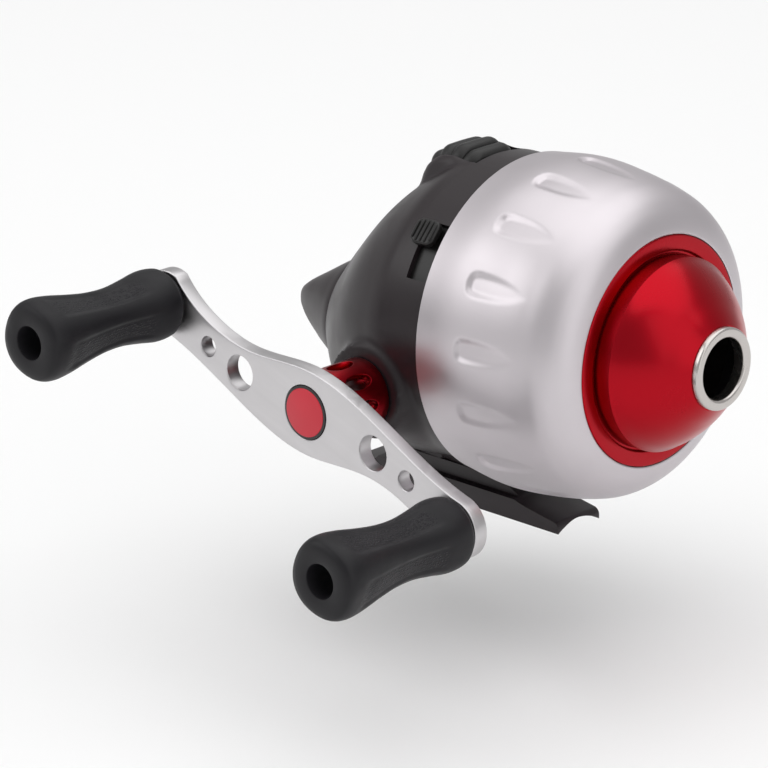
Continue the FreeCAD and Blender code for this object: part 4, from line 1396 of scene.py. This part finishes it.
@dataclass
class AlertSwitch:
    """Ribbed slide switch that rides in the collar's track."""

    datum: Datum
    middle_deg: float = 41.0
    spread_deg: float = 9.5
    rear: float = -8.2
    long: float = 6.2
    floor: float = 33.1
    rad: float = 34.9
    corner_round: float = 1.7
    brim_round: float = 0.5
    ribs: int = 5
    rib_size: tuple[float, float] = (0.62, 0.8)
    rib_round: float = 0.27
    rib_proud: float = 0.35
    rib_margin: float = 1.5
    rib_insets: tuple[float, float] = (1.9, 0.9)
    rib_cuts: int = 5
    keel_rear: float = -5.6
    keel_size: tuple[float, float, float] = (2.0, 3.0, 4.0)
    keel_round: float = 0.2
    keel_drop: float = 1.7

    @staticmethod
    def round_over(bm: Mesh, edges: list, width: float, segments: int) -> None:
        """Round some edges of the flat pad."""
        bmesh.ops.bevel(
            bm, geom=edges, offset=width, offset_type="OFFSET", segments=segments, profile=0.5,
            affect="EDGES", material=-1,
        )

    def flat_pad(self, wide: float) -> Mesh:
        """Make the pad with its round corners, before it is bent.

        Args:
            wide: length of the pad round the collar.

        Returns:
            The pad, its top below the tips of the ribs.
        """
        thick = self.rad - self.floor - self.rib_proud
        pad = Shop.box(Vector((self.long, wide, thick)))
        upright = [edge for edge in pad.edges if abs(edge.verts[0].co.z - edge.verts[1].co.z) > thick / 2]
        self.round_over(pad, upright, self.corner_round, 5)
        brim = [edge for edge in pad.edges if min(vert.co.z for vert in edge.verts) > thick / 2 - 0.01]
        self.round_over(pad, brim, self.brim_round, 3)
        return Shop.move(pad, Vector((0, 0, self.floor + thick / 2)))

    def flat_rib(self, number: int, wide: float) -> Mesh:
        """Make one rib, before it is bent.

        Args:
            number: place of the rib, from the rear.
            wide: length of the pad round the collar.

        Returns:
            The rib; the two outer ones are shorter.
        """
        across = (number - (self.ribs - 1) / 2) * (self.long - self.rib_margin) / (self.ribs - 1)
        inset = self.rib_insets[0] if number in (0, self.ribs - 1) else self.rib_insets[1]
        rib = Shop.box(Vector((self.rib_size[0], wide - inset, self.rib_size[1])), self.rib_round, 3)
        edges = [edge for edge in rib.edges if edge.calc_length() > 2.0]
        bmesh.ops.subdivide_edges(rib, edges=edges, cuts=self.rib_cuts, use_grid_fill=True)
        return Shop.move(rib, Vector((across, 0, self.rad - self.rib_size[1] / 2 - 0.02)))

    def build(self, palette: Palette) -> None:
        """Make the pad and its ribs in the flat, bend them round the axis and dress them.

        Args:
            palette: finishes.
        """
        wide = math.radians(self.spread_deg) * self.rad
        parts = [self.flat_pad(wide)]
        parts += [self.flat_rib(number, wide) for number in range(self.ribs)]
        keel = Shop.box(Vector(self.keel_size), self.keel_round, 2)
        shift = self.keel_rear + self.keel_size[0] / 2 - self.rear - self.long / 2
        parts.append(Shop.move(keel, Vector((shift, 0, self.floor - self.keel_drop))))
        bm = Shop.join(parts)
        centre = math.radians(self.middle_deg)
        for vert in bm.verts:
            angle = centre + vert.co.y / self.rad
            radius = vert.co.z
            vert.co = Vector((vert.co.x, -radius * math.cos(angle), radius * math.sin(angle)))
        bmesh.ops.recalc_face_normals(bm, faces=bm.faces[:])
        Shop.move(bm, self.datum.on_axis(self.rear + self.long / 2))
        Shop.finish(bm, "alert_pad", "alert_switch", palette.ribbed, 35.0, ["alert_switch"], "black_rubber")


@dataclass
class ThumbButton:
    """Casting button: a rounded wedge that closes the rear of the housing."""

    datum: Datum
    tip: float = -64.4
    drop: float = 10.0
    rad: float = 13.0
    taper: Profile = (
        (0.0, 0.0), (0.2, 1.1), (0.9, 2.2), (2.6, 3.6), (9.0, 7.5), (15.0, 11.1), (18.2, 12.7)
    )
    taper_long: float = 20.5
    tip_gap: float = 0.02
    tip_rad: float = 0.15
    rows: int = 44
    row_power: float = 1.6
    flat_start: float = 9.0
    flat_long: float = 14.0
    flat_power: float = 0.6
    flat_side: float = 0.04
    neck: float = -38.1
    shoulder: float = 0.9
    shoulder_long: float = 1.9
    around: int = 160

    def loop(self, x: float, radius: float) -> Callable[[float], Vector]:
        """Section of the button, slightly flattened above and below toward the tip.

        Args:
            x: place along the axis.
            radius: half-width of the section.

        Returns:
            The section as a function of the angle.
        """
        flat = Curve.ease((self.neck - self.flat_start - x) / self.flat_long)

        def point(angle: float) -> Vector:
            """Point of the section at an angle."""
            side, rise, size = Curve.squircle(angle, 2.0 + self.flat_power * flat)
            reach = radius * size
            return Vector((x, reach * side * (1 + self.flat_side * flat), reach * rise))
        return point

    def build(self, palette: Palette) -> None:
        """Loft the wedge with a shoulder inside the housing and dress it.

        Args:
            palette: finishes.
        """
        knots = (*self.taper, (self.taper_long, self.rad))
        shares = [(row / self.rows) ** self.row_power for row in range(self.rows + 1)]
        places = [self.tip_gap + self.taper_long * share for share in shares]
        loops = [
            self.loop(self.tip + place, max(self.tip_rad, Curve.through(knots, place))) for place in places
        ]
        brim = self.neck - self.shoulder_long
        loops += [self.loop(brim, self.rad), self.loop(brim, self.rad + self.shoulder),
                  self.loop(self.neck, self.rad + self.shoulder)]
        bm = Shop.rings(loops, self.around)
        Shop.move(bm, self.datum.on_axis(0.0, 0.0, -self.drop))
        Shop.finish(
            bm, "casting_button", "thumb_button", palette.body, 40.0, ["thumb_button"], "body_plastic"
        )


@dataclass
class CrankHandle:
    """Pierced red hub, S-shaped arm with its holes, and the badge."""

    datum: Datum
    hub_rad: float = 7.5
    hub_wall: float = 1.7
    hub_in: float = 33.9
    hub_edge: float = 0.28
    hub_holes: int = 8
    hole_long: float = 3.5
    hole_half: float = 1.75
    bay_shares: tuple[float, ...] = (0.0, 0.45, 0.78, 0.93, 1.0)
    bay_around: int = 48
    end_ring: float = 1.3
    ring_gap: float = 0.15
    shaft_rad: float = 3.5
    arm_in: float = 47.2
    arm_thick: float = 3.5
    arm_edge: float = 0.6
    badge_rad: float = 5.75
    badge_gap: float = 0.05
    badge_deep: float = 0.55
    rim_proud: float = 0.12
    rim_wide: float = 0.6
    face_proud: float = 0.36

    def build(self, palette: Palette) -> None:
        """Build the hub, the arm and the badge.

        Args:
            palette: finishes.
        """
        self.build_hub(palette)
        self.build_arm(palette)
        self.build_badge(palette)

    def bay_loop(self, share: float) -> Callable[[float], Vector]:
        """Loop of one flat bay of the hub.

        Args:
            share: 0 for the bay's rectangular edge, 1 for its oval hole.

        Returns:
            The loop as a function of the angle.
        """
        half_long = (self.arm_in - self.hub_in) / 2
        half_wide = TURN / self.hub_holes * self.hub_rad / 2

        def point(angle: float) -> Vector:
            """Point of the loop at an angle."""
            side, rise = math.cos(angle), math.sin(angle)
            reach = 1.0 / max(abs(side), abs(rise))
            edge = Vector((reach * side * half_long, reach * rise * half_wide, 0.0))
            return edge.lerp(Vector((self.hole_long * side, self.hole_half * rise, 0.0)), share)
        return point

    def build_hub(self, palette: Palette) -> None:
        """Bend pierced bays into a sleeve, give it a wall, and add its two end rings.

        Args:
            palette: finishes.
        """
        bm = Shop.rings([self.bay_loop(share) for share in self.bay_shares], self.bay_around, Ends.OPEN)
        for vert in bm.verts:
            angle = vert.co.y / self.hub_rad
            vert.co = Vector((vert.co.x, self.hub_rad * math.cos(angle), self.hub_rad * math.sin(angle)))
        bmesh.ops.spin(
            bm, geom=bm.faces[:], cent=(0, 0, 0), axis=(1, 0, 0), angle=TURN, steps=self.hub_holes,
            use_duplicate=True, use_merge=True,
        )
        bmesh.ops.remove_doubles(bm, verts=bm.verts[:], dist=SEAM_MERGE)
        bmesh.ops.recalc_face_normals(bm, faces=bm.faces[:])
        if sum(face.normal.dot(Vector((0, *face.calc_center_median().yz))) for face in bm.faces) < 0:
            bmesh.ops.reverse_faces(bm, faces=bm.faces[:])
        bmesh.ops.solidify(bm, geom=bm.faces[:], thickness=self.hub_wall)
        bmesh.ops.recalc_face_normals(bm, faces=bm.faces[:])
        edges = [edge for edge in bm.edges if edge.calc_face_angle(0.0) > HARD_EDGE]
        bmesh.ops.bevel(
            bm, geom=edges, offset=self.hub_edge, offset_type="OFFSET", segments=3, profile=0.5,
            affect="EDGES", material=-1, clamp_overlap=True,
        )
        Shop.move(bm, Vector(((self.arm_in + self.hub_in) / 2, 0, 0)))
        bore = self.hub_rad - self.hub_wall + 0.1
        parts = [bm]
        for start in (self.hub_in + self.ring_gap, self.arm_in - self.end_ring - self.ring_gap):
            end = start + self.end_ring
            ring = [(start, self.shaft_rad), (start, bore), (end, bore), (end, self.shaft_rad)]
            parts.append(Shop.spin(ring, steps=96))
        bm = Shop.join(parts)
        Shop.move(bm, self.datum.at_crank(), Axis.TO_CRANK.value)
        Shop.finish(bm, "hub_sleeve", "crank", palette.red, 35.0, ["crank_hub"], "red_anodised")

    def build_arm(self, palette: Palette) -> None:
        """Round the edges of the arm and dress it."""
        bm = Shop.soften("handle_arm", self.arm_edge, segments=5)
        Shop.finish(bm, "crank_arm", "crank", palette.arm, 30.0, ["handle_arm"], "arm_metal")

    def build_badge(self, palette: Palette) -> None:
        """Turn the badge's dark rim and its plain red face.

        Args:
            palette: finishes.
        """
        outer = self.arm_in + self.arm_thick
        rad = self.badge_rad - self.badge_gap
        top = outer + self.rim_proud
        disc = [(outer - self.badge_deep, 0.0), (outer - self.badge_deep, rad), (top, rad, 0.15),
                (top, self.badge_rad - 0.9), (top, 0.0)]
        rim = Shop.spin(disc, steps=96, closed=False, segments=3)
        Shop.move(rim, self.datum.at_crank(), Axis.TO_CRANK.value)
        Shop.finish(rim, "badge_rim", "crank", palette.badge_ring, 35.0, ["handle_badge"], "red_anodised")
        edge = self.badge_rad - self.rim_wide
        dome = [(top - 0.02, 0.0), (top - 0.02, edge), (outer + self.face_proud - 0.1, edge - 0.05, 0.1),
                (outer + self.face_proud, 0.0)]
        face = Shop.spin(dome, steps=96, closed=False, segments=3)
        Shop.move(face, self.datum.at_crank(), Axis.TO_CRANK.value)
        Shop.finish(face, "badge_face", "crank", palette.badge, 35.0, (), "red_anodised")


@dataclass
class Knob:
    """Waisted soft-rubber knob with stippled hollow panels and a deep round end hole."""

    name: str
    centre: tuple[float, float]
    turn_deg: float
    root: float = 51.2
    long: float = 37.5
    waist: Profile = (
        (0.0, 7.0), (0.05, 7.35), (0.12, 7.3), (0.24, 6.6), (0.38, 6.0), (0.52, 6.15), (0.66, 6.9),
        (0.8, 7.85), (0.9, 8.25), (1.0, 8.1),
    )
    root_rings: Profile = ((0.0, 2.6), (0.0, 5.9))
    root_round: float = 0.03
    end_round: float = 0.07
    end_drop: float = 1.6
    hole_rad: float = 3.5
    hole_deep: float = 8.0
    hollow_span: tuple[float, float] = (0.16, 0.9)
    panel_deep: float = 0.38
    panel_span: tuple[float, float] = (0.18, 0.9)
    panel_half: float = 0.36
    square_power: float = 0.8
    square_shrink: float = 0.05
    rows: int = 90
    around: int = 192

    def loop(self, along: float, radius: float, square: float) -> Callable[[float], Vector]:
        """Rounded-square section, hollowed on its four panels.

        Args:
            along: distance from the knob's root.
            radius: half-width.
            square: 0 for round, 1 for the squarest section.

        Returns:
            The section as a function of the angle.
        """
        share = along / self.long
        start, end = self.hollow_span
        panel = Curve.ease((share - start) / 0.1) * Curve.ease((end - share) / 0.1)

        def point(angle: float) -> Vector:
            """Point of the section at an angle."""
            side, rise, size = Curve.squircle(angle, 2.0 + self.square_power * square)
            away = abs((angle + TURN / 8) % (TURN / 4) - TURN / 8)
            hollow = self.panel_deep * panel * square * (1 - Curve.ease((away - 0.34) / 0.16))
            reach = radius * size / (1 + self.square_shrink * square) - hollow
            return Vector((self.root + along, reach * side, reach * rise))
        return point

    def side_loop(self, share: float) -> Callable[[float], Vector]:
        """Section of the grip at a share of its length, its two ends rounded.

        Args:
            share: 0 at the root, 1 at the end.

        Returns:
            The section as a function of the angle.
        """
        edge = min(1.0, math.sqrt(min(share / self.root_round, 1.0)) * 0.2 + 0.8)
        close = math.sqrt(min(1.0, (1.0 - share) / self.end_round))
        radius = Curve.through(self.waist, share) * edge - self.end_drop * (1 - close) ** 2
        square = Curve.ease(share / 0.2) * Curve.ease((1.06 - share) / 0.2)
        return self.loop(share * self.long, radius, square)

    def build(self, palette: Palette) -> None:
        """Loft the knob and its blind hole, mark the panels, and dress it.

        Args:
            palette: finishes.
        """
        loops = [self.loop(along, radius, 0.0) for along, radius in self.root_rings]
        loops.append(self.loop(0.12, 6.5, 0.1))
        loops += [self.side_loop(row / self.rows) for row in range(1, self.rows)]
        mouth = self.hole_rad
        end_rings = ((0.06, 6.4), (0.0, 5.4), (0.02, mouth + 0.35), (0.12, mouth + 0.1), (0.4, mouth),
                     (self.hole_deep, mouth), (self.hole_deep + 0.1, 2.6))
        loops += [self.loop(self.long - deep, radius, 0.0) for deep, radius in end_rings]
        bm = Shop.rings(loops, self.around, Ends.BRIDGED)
        self.mark(bm)
        Shop.move(bm, Vector(), Matrix.Rotation(math.radians(self.turn_deg), 3, "X"))
        Shop.move(bm, Vector((self.centre[0], 0, self.centre[1])), Axis.TO_CRANK.value)
        Shop.finish(bm, f"{self.name}_grip", self.name, palette.knob, 40.0, [self.name], "knob_rubber")

    def mark(self, bm: Mesh) -> None:
        """Store where the stippled panels lie as a vertex value.

        Args:
            bm: the knob, before it is turned and moved.
        """
        layer = bm.verts.layers.float.new("panel")
        start, end = self.panel_span
        for vert in bm.verts:
            angle = math.atan2(vert.co.z, vert.co.y)
            away = abs((angle + TURN / 8) % (TURN / 4) - TURN / 8)
            share = (vert.co.x - self.root) / self.long
            inside = Curve.ease((self.panel_half - away) / 0.1)
            inside *= Curve.ease((share - start) / 0.06) * Curve.ease((end - share) / 0.06)
            vert[layer] = inside if math.hypot(vert.co.y, vert.co.z) > 4.5 else 0.0


@dataclass
class SaddleFoot:
    """Foot that sits in the rod's seat, with its two screws."""

    rounding: float = 0.45

    def build(self, palette: Palette) -> None:
        """Round the foot's edges and dress it."""
        bm = Shop.soften("foot", self.rounding, segments=3)
        Shop.finish(bm, "saddle_foot", "reel_body", palette.body, 40.0, ["foot"], "body_plastic")


@dataclass
class ReturnSpring:
    """Wire coil between the shaft's collar and the pinion."""

    datum: Datum
    rear: float = -36.5
    front: float = -27.0
    rad: float = 2.95
    wire: float = 0.42
    coils: int = 7
    around: int = 20

    def build(self, palette: Palette) -> None:
        """Screw a round wire section about the axis and dress the coil.

        Args:
            palette: finishes.
        """
        bm = bmesh.new()
        bmesh.ops.create_circle(bm, segments=10, radius=self.wire, cap_ends=True)
        bmesh.ops.translate(bm, vec=(self.wire, self.rad, 0), verts=bm.verts[:])
        span = self.front - self.rear - 2 * self.wire
        steps = self.coils * self.around
        bmesh.ops.spin(
            bm, geom=bm.verts[:] + bm.edges[:] + bm.faces[:], cent=(0, 0, 0), axis=(1, 0, 0),
            dvec=(span / steps, 0, 0), angle=TURN * self.coils, steps=steps, use_merge=False,
            use_duplicate=False,
        )
        bmesh.ops.recalc_face_normals(bm, faces=bm.faces[:])
        Shop.move(bm, self.datum.on_axis(self.rear))
        coil = Shop.finish(
            bm, "shaft_spring", "rotor", palette.steel, 60.0, ["return_spring"], "inner_steel"
        )
        anchor = self.datum.on_axis(self.rear) * MM
        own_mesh(coil)


@dataclass
class Gearbox:
    """Inner works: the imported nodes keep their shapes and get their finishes."""

    steel: tuple[str, ...] = (
        "deck_screws", "foot_screws", "pinion_bearing", "crank_clutch", "crank_bearing", "drag_plate",
        "spool_clip", "dial_axle", "crank_shaft", "handle_screw", "knob_pin_front", "knob_pin_rear",
        "centre_shaft", "pickup_pin",
    )
    brass: tuple[str, ...] = ("left_bush", "spool_sleeve", "drive_gear", "pinion", "head_nut")
    aluminium: tuple[str, ...] = ("deck_plate", "shaft_bracket", "spinner_head", "spool")
    felt: tuple[str, ...] = ("drag_washer",)

    def build(self, palette: Palette, nodes: dict[str, bpy.types.Object]) -> None:
        """Give every inner node its finish.

        Args:
            palette: finishes.
            nodes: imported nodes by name.
        """
        dress = (
            (palette.steel, self.steel), (palette.brass, self.brass), (palette.spool, self.aluminium),
            (palette.felt, self.felt),
        )
        for finish, names in dress:
            for name in names:
                slots = nodes[name].data.materials
                slots.clear()
                slots.append(finish)
                LOG.info("%s keeps its shape, finish %s", name, finish.name)


@dataclass(frozen=True)
class Lamp:
    """Rectangular soft box; places and sizes in metres, power in watts."""

    name: str
    place: tuple[float, float, float]
    wide: float
    high: float
    power: float

    def hang(self, target: Vector) -> None:
        """Make the light and aim it.

        Args:
            target: point that the light faces.
        """
        data = bpy.data.lights.new(self.name, "AREA")
        data.shape = "RECTANGLE"
        data.size = self.wide
        data.size_y = self.high
        data.energy = self.power
        lamp = bpy.data.objects.new(self.name, data)
        lamp.location = self.place
        lamp.rotation_euler = (target - Vector(self.place)).to_track_quat("-Z", "Y").to_euler()
        bpy.context.scene.collection.objects.link(lamp)


@dataclass
class Studio:
    """Pale floor, soft lights and the camera."""

    datum: Datum
    target: Vector
    floor_half_m: float = 3.0
    floor_gap_mm: float = 3.0
    floor_grey: float = 0.93
    floor_rough: float = 0.7
    room_light: float = 0.5
    lens_mm: float = 205.0
    sensor_mm: float = 36.0
    lamps: tuple[Lamp, ...] = (
        Lamp("key_box", (-1.0, -1.2, 1.1), 1.5, 1.2, 9.0),
        Lamp("top_box", (0.1, 0.2, 1.5), 2.4, 2.0, 17.0),
        Lamp("front_box", (1.4, -0.3, 0.6), 1.0, 1.5, 3.8),
    )

    def build(self) -> None:
        """Set the stage."""
        view = bpy.context.scene.view_settings
        view.view_transform = "Standard"
        view.look = "None"
        self.build_floor()
        self.build_room()
        for lamp in self.lamps:
            lamp.hang(self.target)
        self.build_camera()

    def build_floor(self) -> None:
        """Plain pale floor that the knobs clear through a full turn of the crank."""
        bottom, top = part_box("knob_front")
        knob_rad = (top.z - bottom.z) / 2 / MM
        reach = math.dist(self.datum.knob, self.datum.crank) + knob_rad
        low = (self.datum.crank[1] - reach - self.floor_gap_mm) * MM
        bm = bmesh.new()
        bmesh.ops.create_grid(bm, x_segments=1, y_segments=1, size=self.floor_half_m)
        bmesh.ops.translate(bm, vec=(0, 0, low), verts=bm.verts[:])
        mesh = bpy.data.meshes.new("floor")
        bm.to_mesh(mesh)
        bm.free()
        floor = bpy.data.objects.new("floor", mesh)
        bpy.context.scene.collection.objects.link(floor)
        material = bpy.data.materials.new("pale_floor")
        material.use_nodes = True
        shader = material.node_tree.nodes["Principled BSDF"]
        shader.inputs["Base Color"].default_value = (self.floor_grey,) * 3 + (1,)
        shader.inputs["Roughness"].default_value = self.floor_rough
        mesh.materials.append(material)

    def build_room(self) -> None:
        """Even white light from all round."""
        world = bpy.data.worlds.new("room")
        bpy.context.scene.world = world
        world.use_nodes = True
        back = world.node_tree.nodes["Background"]
        back.inputs["Color"].default_value = (1, 1, 1, 1)
        back.inputs["Strength"].default_value = self.room_light

    def build_camera(self) -> None:
        """Long-lens camera, to the crank side and above."""
        side, rise = math.radians(CAMERA_SIDE_DEG), math.radians(CAMERA_RISE_DEG)
        level = math.cos(rise)
        back = Vector((math.sin(side) * level, -math.cos(side) * level, math.sin(rise)))
        data = bpy.data.cameras.new("camera")
        data.lens = self.lens_mm
        data.sensor_width = self.sensor_mm
        camera = bpy.data.objects.new("camera", data)
        camera.location = self.target + back * CAMERA_DISTANCE
        camera.rotation_euler = back.to_track_quat("Z", "Y").to_euler()
        bpy.context.scene.collection.objects.link(camera)
        bpy.context.scene.camera = camera


def main() -> None:
    """Build every sub-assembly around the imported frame."""
    logging.basicConfig(level=logging.INFO, format="%(name)s %(message)s")
    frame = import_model()
    datum = Datum.from_frame()
    palette = Palette()
    FrontCover(datum).build(palette)
    Nose(datum).build(palette)
    RearHousing(datum).build(palette)
    DragWheel(datum).build(palette)
    AlertSwitch(datum).build(palette)
    ThumbButton(datum).build(palette)
    CrankHandle(datum).build(palette)
    Knob("knob_front", datum.knob, KNOB_TURN_DEG).build(palette)
    Knob("knob_rear", datum.rear_knob, KNOB_TURN_DEG).build(palette)
    SaddleFoot().build(palette)
    ReturnSpring(datum).build(palette)
    Gearbox().build(palette, frame["nodes"])
    Studio(datum, CAMERA_AIM).build()


if __name__ == "__main__":
    main()
